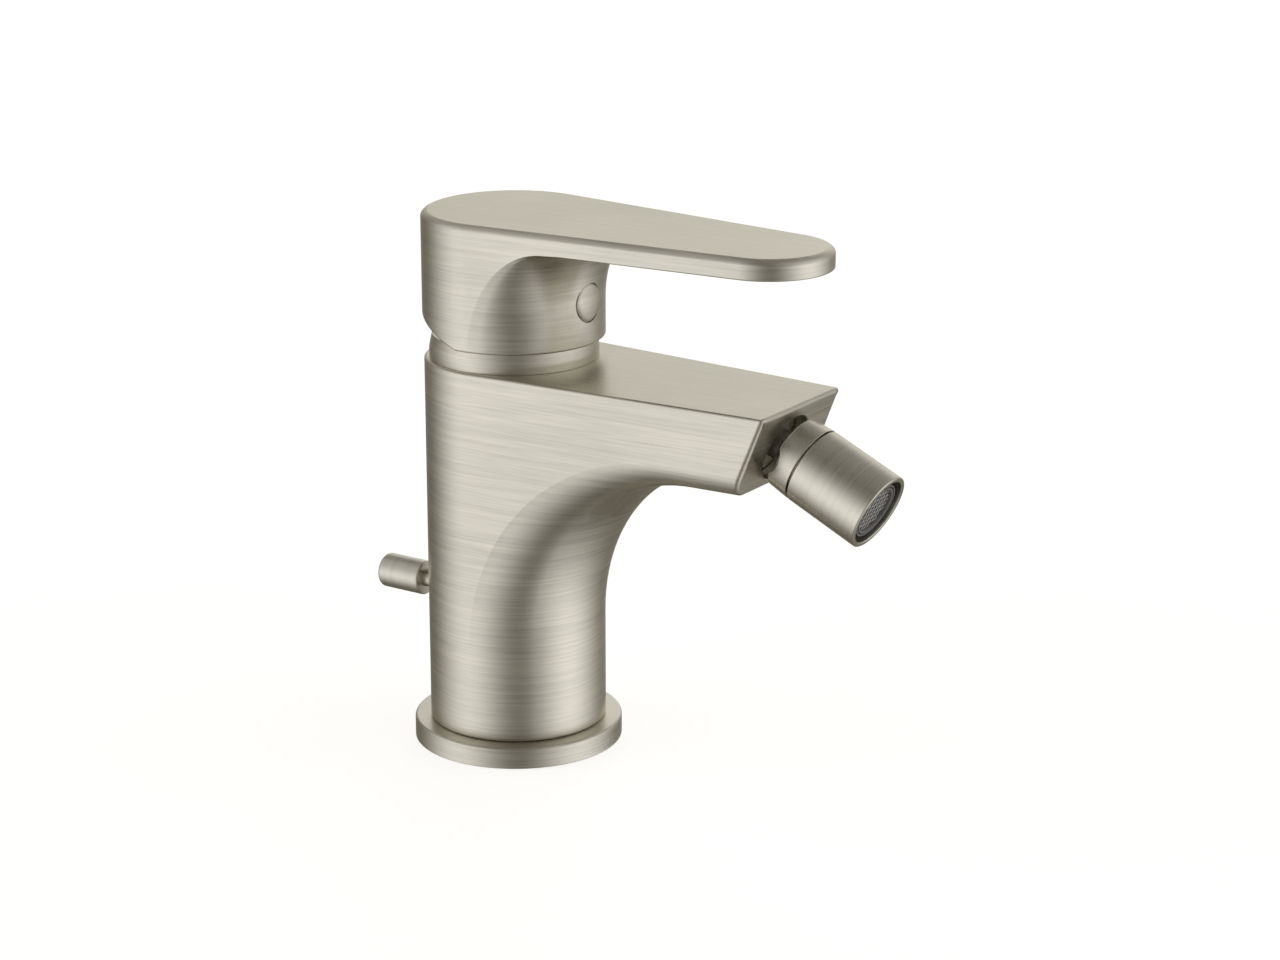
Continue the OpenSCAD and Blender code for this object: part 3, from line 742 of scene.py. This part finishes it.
        # Back of the column beside the arch and above it
        heights = [(0.0, p[2]) for p in crease] + [(spot.inset, spot.z) for spot in self.side[1:]]
        skin.halves([arc(self.radius - inset, z, self.rear) for inset, z in heights])
        # Flat flank up to the crease, then on to the face
        skin.halves(self.flat_flank(crease))
        skin.halves([self.flank_row(spot) for spot in self.side])
        # Underside from the arch to the face
        skin.halves([[self.at(spot, x) for x in steps(line[-1][0], self.flat_end(spot), 8)]
                     for spot, line in zip(self.under, arch)])
        skin.halves([self.face_row(a) for a in steps(0, QUARTER, 9)])
        self._top(skin)
        self._face(skin)
        return skin

    def _column(self, skin: Skin, arch: list[list[Point]]) -> None:
        """Column below the arch, its foot and the spigot."""
        front = [atan2(line[0][1], line[0][0]) for line in arch]
        low_z = self.foot + self.foot_round
        foot = [(self.radius - self.foot_round * (1 - sin(b)), low_z - self.foot_round * cos(b))
                for b in steps(QUARTER, 0, 6)]
        foot += [(self.spigot, self.foot), (self.spigot, self.spigot_foot)]
        side_top = arch[-1][0][2]
        for angles, tops in ((front, [line[0][2] for line in arch]), (self.rear, [side_top] * len(self.rear))):
            low = arc(self.radius, low_z, angles)
            high = [(x, y, top) for (x, y, _), top in zip(low, tops)]
            skin.halves(between(low, high, steps(0, 1, 6)))
            skin.halves([arc(r, z, angles) for r, z in foot])
        skin.cap(whole(arc(self.spigot, self.spigot_foot, front + self.rear[1:])))

    def _top(self, skin: Skin) -> None:
        """Flat top with the cartridge's bore."""
        half = self.top_edge() + [self.at(spot, self.flat_end(spot)) for spot in self.over]
        skin.fill([whole(half), ring(*CARTRIDGE_BORE[0])])
        skin.lathe(CARTRIDGE_BORE, closed=False)
        skin.cap(ring(*CARTRIDGE_BORE[-1]))

    def _face(self, skin: Skin) -> None:
        """Leaning face with the outlet's recess; it comes last, as it moves the skin's frame."""
        recess = rounded(FACE_RECESS, closed=False, count=3)
        mouth = [tuple(FACE_PLACE @ Vector(p)) for p in ring(*recess[0])]
        up = Vector((sin(FACE_LEAN), 0, cos(FACE_LEAN)))
        skin.fill([whole(self.face_row(QUARTER)), mouth], Y_AXIS, up)
        skin.place = FACE_PLACE
        skin.lathe(recess, closed=False)
        skin.cap(ring(*recess[-1]))

    def _slot(self) -> Skin:
        """Long hole behind the column, in which the pull's neck slides."""
        outline = []
        for reach, z in ((self.slot_half, self.slot_top), (-self.slot_half, self.slot_foot)):
            outline += [(reach * cos(a), z + reach * sin(a)) for a in steps(0, pi, 16)]
        ends = [[(x, y, z) for y, z in outline] for x in self.slot_ends]
        slot = Skin()
        for end in ends:
            slot.cap(end)
        slot.grid(ends, closed=True)
        return slot

    def build(self) -> None:
        """Makes the casting, cuts its bores from below and its slot behind."""
        piece = self.skin().build("casting")
        bores = Skin()
        for x, y, profile in UNDER_BORES:
            bores.place = Matrix.Translation((x, y, 0))
            bores.lathe(profile, closed=False, count=48)
        cut(piece, bores)
        cut(piece, self._slot())
        crease_along(piece, self.arch_line(self.under[-1]))
        crease_along(piece, self.top_edge())
        settle(piece, NICKEL_CAST, Body.MIXER, Slot.NICKEL, "body")


@dataclass
class LeverHandle(Flanked):
    """Skirt over the cartridge and flat blade, in one casting."""

    radius: float = 22.3
    wall: float = 1.4
    foot: float = 103.7
    under: float = 129.7
    top: float = 134.7
    tip_x: float = 72.0
    tip_radius: float = 15.6
    top_round: float = 1.6
    foot_round: float = 0.6
    inner_round: float = 0.2
    blade_round: float = 0.4
    round_run: float = 4.5
    run_in: tuple[float, ...] = (0.6, 1.2, 2, 3, 4.5, 6.5, 9)
    crease_run: float = 21.0
    crease_rise: float = 27.0
    middle_run: float = 8.5
    middle_rise: float = 14.0
    blend_turn: float = radians(75)
    bevel_x: float = -1.5
    bevel: float = radians(19.2)
    cavity: float = 127.7
    hub: float = 8.5
    hub_foot: float = 107.0
    socket_half: float = 4.06
    socket_roof: float = 120.8
    index_z: float = 114.3
    sharp_above: float = 13.0
    rows: int = 30

    def __post_init__(self) -> None:
        """Works out where the flanks touch the skirt and the tip."""
        lean = asin((self.radius - self.tip_radius) / self.tip_x)
        self.slope = tan(lean)
        self.turn = QUARTER - lean
        self.normal = direction(self.turn)
        self.root = self.normal * self.radius
        self.end = Vector((self.tip_x, 0)) + self.normal * self.tip_radius
        self.crease_x = self.root.x + self.crease_run
        self.middle_x = self.radius + self.middle_run
        self.front = steps(self.blend_turn, 0, 18)
        kink = acos(self.bevel_x / self.radius)
        self.rear = steps(self.turn, kink, 3) + steps(kink, pi, 40)[1:]

    def foot_z(self, x: float) -> float:
        """Height of the skirt's edge, which rises behind the pivot."""
        return self.foot + max(0.0, self.bevel_x - x) * tan(self.bevel)

    def blend_line(self, t: float) -> list[Point]:
        """Line from the skirt's front up to the blade's underside.

        Args:
            t: Place round the front, from the blend's full turn at the crease to 0 in the middle.

        Returns:
            Points from the skirt's edge fillet to the underside.
        """
        level = cos(self.blend_turn)
        side = sin(t) / sin(self.blend_turn)
        middle = (cos(t) - level) / (1 - level)
        start = direction(asin(sin(self.turn) * side)) * self.radius
        end_x = self.crease_x + (self.middle_x - self.crease_x) * middle
        end = Vector((end_x, self.flank_y(self.crease_x) * side))
        rise = self.crease_rise + (self.middle_rise - self.crease_rise) * middle
        low = self.under - rise
        first = asin(max(0.0, self.foot + self.foot_round - low) / rise)
        line = []
        for a in steps(first, QUARTER, self.rows):
            run = (cos(first) - cos(a)) / cos(first)
            line.append((*(start + (end - start) * run), low + rise * sin(a)))
        return line

    def outline(self) -> list[tuple[Vector, Vector, float]]:
        """Half outline of the blade from the back to the tip.

        Returns:
            Point, outward normal and radius of the lower edge at each.
        """
        made = [(direction(a) * self.radius, direction(a), 0.0) for a in self.rear[::-1]]
        places = steps(self.root.x, self.crease_x, 6)[1:]
        places += [self.crease_x + run for run in self.run_in]
        places += steps(places[-1], self.end.x, 14)[1:]
        for x in places:
            grow = min(1.0, max(0.0, (x - self.crease_x) / self.round_run))
            made.append((Vector((x, self.flank_y(x))), self.normal, self.blade_round * grow))
        for a in steps(self.turn, 0, 24)[1:]:
            spot = Vector((self.tip_x, 0)) + direction(a) * self.tip_radius
            made.append((spot, direction(a), self.blade_round))
        return made

    def skin(self) -> Skin:
        """Lays all surfaces of the handle."""
        skin = Skin()
        blend = [self.blend_line(t) for t in self.front]
        crease = blend[0]
        skin.halves(blend)
        # Front of the skirt below the blend
        round_top = self.foot + self.foot_round
        starts = [line[0] for line in blend]
        skin.halves(between(at_height(starts, round_top), starts, steps(0, 1, 6)))
        # Flat flank beside the blend, and the back of the skirt
        skin.halves(self.flat_flank(crease))
        high = arc(self.radius, self.under, self.rear)
        low = [(x, y, self.foot_z(x) + self.foot_round) for x, y, _ in high]
        skin.halves(between(low, high, [(p[2] - round_top) / (self.under - round_top) for p in crease]))
        front = [atan2(y, x) for x, y, _ in starts]
        self._edge(skin, front[::-1] + self.rear[1:])
        self._blade(skin, blend)
        self._inside(skin)
        return skin

    def _edge(self, skin: Skin, angles: list[float]) -> None:
        """Rounded lower edge of the skirt, its inner wall and the roof inside."""
        inner = self.radius - self.wall
        foot = [(self.radius - self.foot_round * (1 - cos(b)), self.foot_round * (1 - sin(b)))
                for b in steps(0, QUARTER, 9)]
        foot += [(inner + self.inner_round * (1 - sin(b)), self.inner_round * (1 - cos(b)))
                 for b in steps(0, QUARTER, 8)]
        rows = [[(x, y, self.foot_z(x) + z) for x, y, z in arc(r, up, angles)] for r, up in foot]
        roof = at_height(rows[-1], self.cavity)
        rows += between(rows[-1], roof, steps(0, 1, 5)[1:])
        skin.halves(rows)
        skin.fill([whole(roof), ring(self.hub, self.cavity, 48)])

    def _blade(self, skin: Skin, blend: list[list[Point]]) -> None:
        """Upper band, blade edges, top and underside."""
        outline = self.outline()
        rows = [[(*(p - n * r * (1 - sin(b))), self.under + r * (1 - cos(b))) for p, n, r in outline]
                for b in steps(0, QUARTER, 8)]
        for inset, rise in soft_edge(10):
            z = self.top - self.top_round * (1 - rise)
            rows.append([(*(p - n * self.top_round * inset), z) for p, n, _ in outline])
        skin.halves(rows)
        skin.cap(whole(rows[-1]))
        start = next(i for i, (p, _, _) in enumerate(outline) if p.x > self.crease_x - 1e-6)
        skin.fill([whole([line[-1] for line in blend[::-1]] + rows[0][start + 1:])])

    def _inside(self, skin: Skin) -> None:
        """Hub with the square socket of the stem."""
        q = self.socket_half
        low = [(x, y, self.hub_foot) for x, y in ((q, q), (-q, q), (-q, -q), (q, -q))]
        high = at_height(low, self.socket_roof)
        skin.lathe([(self.hub, self.cavity), (self.hub, self.hub_foot)], closed=False, count=48)
        skin.fill([ring(self.hub, self.hub_foot, 48), low])
        skin.grid([low, high], closed=True)
        skin.cap(high)

    def build(self) -> None:
        """Makes the handle with its index boss and the cap's seat."""
        piece = self.skin().build("lever", self.sharp_above)
        boss = Skin(INDEX_PLACE)
        boss.lathe(INDEX_BOSS, closed=False, count=48)
        cut(piece, boss, union=True, crease=self.sharp_above)
        seat = Skin(INDEX_PLACE)
        seat.lathe(INDEX_SEAT, closed=False, count=64)
        cut(piece, seat, crease=self.sharp_above)
        crease_along(piece, self.blend_line(self.blend_turn))
        settle(piece, NICKEL_CAST, Body.LEVER, Slot.NICKEL, "lever_handle")


# ---- places of the turned pieces, with +Z along each one's axis

BALL_OUT = 5.0
DROP = CastBody.outlet_drop
FACE_SPOT = (CastBody.reach - DROP * sin(FACE_LEAN), 0, CastBody.top - DROP * cos(FACE_LEAN))
FACE_PLACE = turned(FACE_SPOT, QUARTER + FACE_LEAN)  # On the spout's face, +Z out of it
HEAD_PLACE = turned(FACE_PLACE @ Vector((0, 0, BALL_OUT)), QUARTER + HEAD_LEAN)  # In the ball, +Z to the mouth
INDEX_PLACE = turned((0, 0, LeverHandle.index_z), QUARTER)  # Inside the lever, +Z out of the skirt's front
PULL_PLACE = turned((0, 0, CastBody.slot_foot), -QUARTER)  # Inside the column, +Z back to the knob


# ---- turned pieces


@dataclass
class TurnedPiece:
    """Piece turned round one axis.

    Attributes:
        corners: Radius, height and fillet radius of each corner of its closed profile.
        node: CAD node that it stands for.
        place: Frame of its axis, where that isn't the part's own Z axis.
        count: Chords round the axis.
    """

    name: str
    corners: Sequence[Triple]
    finish: Finish
    body: Body
    slot: Slot
    node: str
    place: Matrix | None = None
    count: int = 96

    def build(self) -> None:
        """Turns the profile and ties the piece to the frame."""
        skin = Skin(self.place)
        skin.lathe(rounded(self.corners), count=self.count)
        settle(skin.build(self.name), self.finish, self.body, self.slot, self.node)


TURNED = (
    TurnedPiece("base_rosette", [
        (19.1, 0, 0), (21.5, 0, 0), (21.5, 2.2, 0), (24.5, 2.2, 0), (24.5, 0, 0), (26, 0, 0.2),
        (26, 5.4, 0.7), (19.1, 5.4, 0.15)],
        NICKEL_RING, Body.MIXER, Slot.NICKEL, "base_ring", count=128),
    TurnedPiece("cover_band", [
        (17.1, 98.5, 0), (20.75, 98.5, 0.12), (20.8, 100.7, 6), (20.05, 104.3, 0.3),
        (14.5, 104.3, 0.3), (14.5, 101.8, 0), (17.1, 101.8, 0)],
        NICKEL_RING, Body.MIXER, Slot.NICKEL, "cartridge_cover", count=128),
    TurnedPiece("index_button", [
        (0, 16.3, 0), (2.4, 16.3, 0), (2.4, 19.45, 0), (4.76, 19.45, 0), (4.76, 22.05, 0.1),
        *((r, 22.84 - r * r / 40, 0) for r in (4.3, 3.8, 3.2, 2.6, 2.0, 1.3, 0.65, 0))],
        NICKEL_RING, Body.LEVER, Slot.NICKEL, "index_cap", INDEX_PLACE, 64),
    TurnedPiece("outlet_tube", [
        (8.25, 3.08, 0), (9.47, 3.08, 0.2), (9.57, 22.65, 0.38), (8.3, 22.65, 0.3), (8.3, 10.55, 0),
        (5.3, 10.55, 0), (5.3, 5.6, 0), (7.0, 5.6, 0), (7.0, 8.05, 0), (8.25, 8.05, 0)],
        NICKEL_HEAD, Body.NOZZLE, Slot.NICKEL, "nozzle_shell", HEAD_PLACE, 128),
    TurnedPiece("aerator_sleeve_ring", [
        (7.1, 12.05, 0), (8.25, 12.05, 0), (8.25, 20.4, 0.2), (7.1, 20.4, 0.1)],
        RUBBER, Body.NOZZLE, Slot.RUBBER, "aerator_sleeve", HEAD_PLACE),
    TurnedPiece("pull_grip", [
        (0, 34.5, 0), (2.1, 34.5, 0), (2.1, 28.4, 0.2), (4.35, 28.4, 0.35), (4.35, 41.0, 0.8), (0, 41.0, 0)],
        NICKEL_PULL, Body.PULL, Slot.NICKEL, "pull_knob", PULL_PLACE, 64),
    TurnedPiece("pull_neck", [
        (0, 34.4, 0), (2.08, 34.4, 0), (2.08, 15.7, 0.2), (1.25, 15.7, 0), (1.25, 12.6, 0.2), (0, 12.6, 0)],
        NICKEL_PULL, Body.PULL, Slot.NICKEL, "knob_pin", PULL_PLACE, 48),
)


@dataclass
class BallJoint:
    """Ball stud in the face and the collar that swivels on it."""

    ball: float = 6.3
    neck: float = 3.7
    key_mouth: float = 3.4
    cup: float = 7.16
    back: float = -3.0
    front: float = 2.58
    notch: float = 4.6
    notch_depth: float = 1.7

    def stud(self) -> None:
        """Flange, neck and ball that are screwed into the face."""
        profile = rounded([(2.6, -10, 0), (5.94, -10, 0), (5.94, -5, 0), (8.3, -5, 0), (8.3, -3.7, 0.35),
                           (self.neck, -3.7, 0)], closed=False)
        start = asin(self.neck / self.ball)
        end = pi - asin(self.key_mouth / self.ball)
        profile += [(self.ball * sin(a), BALL_OUT - self.ball * cos(a)) for a in steps(start, end, 24)]
        skin = Skin(FACE_PLACE)
        skin.lathe(profile + [(3.0, 10.3), (3.0, 6.3), (2.6, 6.3)])
        settle(skin.build("ball_and_flange"), STUD_WITH_PAINTED_SHADE, Body.MIXER, Slot.BRASS, "ball_stud")

    def collar(self) -> None:
        """Collar with its spherical cup and two scalloped notches."""
        start = acos(-self.back / self.cup)
        cup = [(self.cup * sin(a), -self.cup * cos(a)) for a in steps(start, QUARTER, 8)]
        outer = rounded([(self.cup, 7.85, 0), (7.9, 7.85, 0), (7.9, self.front, 0), (9.45, self.front, 0.12),
                         (9.1, self.back, 0.35), (*cup[0], 0)], closed=False)
        skin = Skin(HEAD_PLACE)
        skin.lathe(cup + outer[:-1], count=128)
        piece = skin.build("swivel_collar_ring")
        for side in (-1, 1):
            spot = Matrix.Translation((0, 0, self.back - self.notch + self.notch_depth))
            cutter = Skin(HEAD_PLACE @ spot @ Matrix.Rotation(side * QUARTER, 4, "X"))
            cutter.lathe(cylinder(self.notch, 5, 12), closed=False)
            cut(piece, cutter)
        settle(piece, NICKEL_HEAD, Body.NOZZLE, Slot.NICKEL, "swivel_collar")


@dataclass
class Aerator:
    """Insert and woven screen in the outlet's mouth."""

    front: float = 21.85
    groove: float = 21.25
    floor: float = 20.4
    seat: float = 5.8
    middle: float = 20.95
    pitch: float = 0.95
    wire: float = 0.11
    crimp: float = 0.85

    def insert(self) -> None:
        """Moulded insert whose front carries two rings."""
        skin = Skin(HEAD_PLACE)
        skin.lathe(rounded([
            (4.6, 12.05, 0), (7.05, 12.05, 0), (7.05, self.front, 0.12), (6.68, self.front, 0.08),
            (6.62, self.groove, 0.05), (6.3, self.groove, 0.05), (6.24, self.front, 0.1),
            (self.seat, self.front, 0.12), (self.seat, self.floor, 0), (4.6, self.floor, 0)]))
        settle(skin.build("aerator_rings"), GREY, Body.NOZZLE, Slot.GREY, "aerator_insert")

    def _wire(self, skin: Skin, offset: float, over: bool, along_x: bool) -> None:
        """One wire of the screen, waving over and under those that cross it."""
        half = sqrt((self.seat - 0.05) ** 2 - offset**2)
        crimp = self.crimp * self.wire * (1 if over else -1)
        rows = []
        for s in steps(-half, half, round(half / self.pitch * 8)):
            z = self.middle + crimp * cos(pi * s / self.pitch)
            row = [(offset + self.wire * cos(k * pi / 3), z + self.wire * sin(k * pi / 3)) for k in range(6)]
            rows.append([(s, side, up) if along_x else (side, s, up) for side, up in row])
        skin.grid(rows, closed=True)
        skin.cap(rows[0])
        skin.cap(rows[-1])

    def screen(self) -> None:
        """Woven screen over a black disc, which paints the shade of the hollow bore behind it."""
        skin = Skin(HEAD_PLACE @ Matrix.Rotation(pi / 4, 4, "Z"))
        count = int(self.seat / self.pitch)
        for i in range(-count, count + 1):
            self._wire(skin, i * self.pitch, i % 2 == 1, True)
            self._wire(skin, i * self.pitch, i % 2 == 0, False)
        settle(skin.build("aerator_screen", 60), STEEL_MESH, Body.NOZZLE, Slot.STEEL, "aerator_mesh")
        # Painted shade: a black disc closes the bore and stands for the dark hollow behind the screen
        shade_disc = Skin(HEAD_PLACE)
        shade_disc.lathe(rounded([(0, 20.45, 0), (5.78, 20.45, 0), (5.78, 20.62, 0.05), (0, 20.62, 0)]))
        settle(shade_disc.build("aerator_shade_disc"), RUBBER, Body.NOZZLE, Slot.RUBBER)


HIDDEN: dict[str, Finish] = {
    "base_seal": RUBBER, "rod_guide": PLASTIC, "cartridge_base": PLASTIC, "port_seals": RUBBER,
    "fixed_disc": CERAMIC, "moving_disc": CERAMIC, "cartridge_housing": PLASTIC, "cartridge_nut": BRASS_RING,
    "stud_oring": RUBBER, "cartridge_rotor": PLASTIC, "stem_pin": STEEL_ROD, "lever_stem": STEEL_ROD,
    "grub_screw": STEEL_ROD, "disc_carrier": PLASTIC, "ball_liner": PLASTIC, "ball_seal": RUBBER,
    "aerator_gasket": RUBBER, "lift_rod": STEEL_ROD,
}


# ---- studio


@dataclass(frozen=True)
class Wall:
    """Soft light wall of the surroundings.

    Attributes:
        aim: Direction in which it lies.
        level: Its light where 1 is white.
        focus: How fast it fades away from its middle.
    """

    aim: Triple
    level: float
    focus: float


@dataclass
class Studio:
    """Camera, surroundings that light the mixer, and a pale floor."""

    dim: Triple = (0.16, 0.15, 0.123)  # Light where no wall is
    walls: tuple[Wall, ...] = (
        Wall((-0.54, -0.834, -0.108), 1.0, 3.5),
        Wall((0.857, 0.2, -0.474), 0.68, 4.4),
        Wall((0.866, 0.412, 0.284), 0.56, 2.2),
        Wall((-0.638, -0.223, 0.737), 0.36, 8.4),
        Wall((-0.446, 0.858, 0.256), 0.8, 9.0),
    )
    focal: float = 91.37
    sensor: float = 36.0
    spot: Triple = (451.031, -621.063, 301.353)
    right: Triple = (0.831966, 0.554827, -0.000221)
    up: Triple = (-0.162464, 0.243996, 0.956071)
    ahead: Triple = (-0.530507, 0.795383, -0.293136)
    floor_half: float = 3000.0
    floor_z: float = -0.05
    floor_colour: Triple = (0.9, 0.9, 0.895)
    floor_glow: float = 0.66  # Brings the floor up to the background's white for the camera

    def camera(self) -> None:
        """Camera at the photograph's viewing angle."""
        data = bpy.data.cameras.new("camera")
        data.lens = self.focal
        data.sensor_width = self.sensor
        data.clip_start = 0.01
        made = bpy.data.objects.new("camera", data)
        columns = [Vector(self.right), Vector(self.up), -Vector(self.ahead), Vector(self.spot) * MM]
        made.matrix_world = Matrix([[*(c[i] for c in columns)] for i in range(3)] + [[0, 0, 0, 1]])
        bpy.context.scene.collection.objects.link(made)
        bpy.context.scene.camera = made

    def world(self) -> None:
        """Surroundings: soft light walls, with dim gaps between; the camera sees plain white."""
        world = bpy.data.worlds.new("studio")
        bpy.context.scene.world = world
        g = Graph(world)
        white = (1, 1, 1)
        way = g.node("TexCoord").outputs["Generated"]
        light: Socket | float = 0.0
        for wall in self.walls:
            match = g.vector("DOT_PRODUCT", way, Vector(wall.aim).normalized())
            glow = g.math("POWER", g.math("MAXIMUM", match, 0.0), wall.focus)
            light = g.math("ADD", light, g.math("MULTIPLY", glow, wall.level))
        eye = g.ray("Camera")
        tone = g.vector("ADD", g.scaled(white, light), self.dim)
        around = g.scaled(tone, g.math("SUBTRACT", 1.0, eye))
        seen = g.vector("ADD", around, g.scaled(white, eye))
        g.finish(g.node("Background", {"Color": seen}), "World")

    def floor(self) -> None:
        """Pale floor that keeps the mixer's shadow and doesn't show in the metal."""
        half = self.floor_half
        skin = Skin()
        skin.cap([(x, y, self.floor_z) for x, y in ((-half, -half), (half, -half), (half, half), (-half, half))])
        made = skin.build("floor")
        made.modifiers.clear()
        g = Graph(bpy.data.materials.new("pale floor"))
        tone = g.spread(g.noise(g.scaled(g.place(), 0.004), 0.0), 0.985, 1.0)
        shader = g.node("BsdfPrincipled", {
            "Base Color": g.scaled(self.floor_colour, tone), "Roughness": 0.7, "Specular IOR Level": 0.1,
            "Emission Color": (1, 1, 1, 1),
            "Emission Strength": g.math("MULTIPLY", g.ray("Camera"), self.floor_glow)})
        clear = g.node("BsdfTransparent")
        missed = g.math("MAXIMUM", g.ray("Glossy"), g.ray("Transmission"))
        mix = g.node("MixShader", {"Fac": missed, 1: shader.outputs[0], 2: clear.outputs[0]})
        made.data.materials.append(g.finish(mix))

    def build(self) -> None:
        """Sets up the whole studio."""
        bpy.context.scene.view_settings.view_transform = "Standard"
        self.camera()
        self.world()
        self.floor()
        LOG.info("studio is set up")


def main() -> None:
    """Builds every piece in order."""
    logging.basicConfig(level=logging.INFO, format="%(name)s: %(message)s")
    Studio().build()
    CastBody().build()
    LeverHandle().build()
    for piece in TURNED:
        piece.build()
    joint = BallJoint()
    joint.stud()
    joint.collar()
    aerator = Aerator()
    aerator.insert()
    aerator.screen()
    for node, finish in HIDDEN.items():
        dress(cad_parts[node], finish)
        LOG.info("%s keeps its CAD shape, finish %s", node, finish.name)


if __name__ == "__main__":
    main()
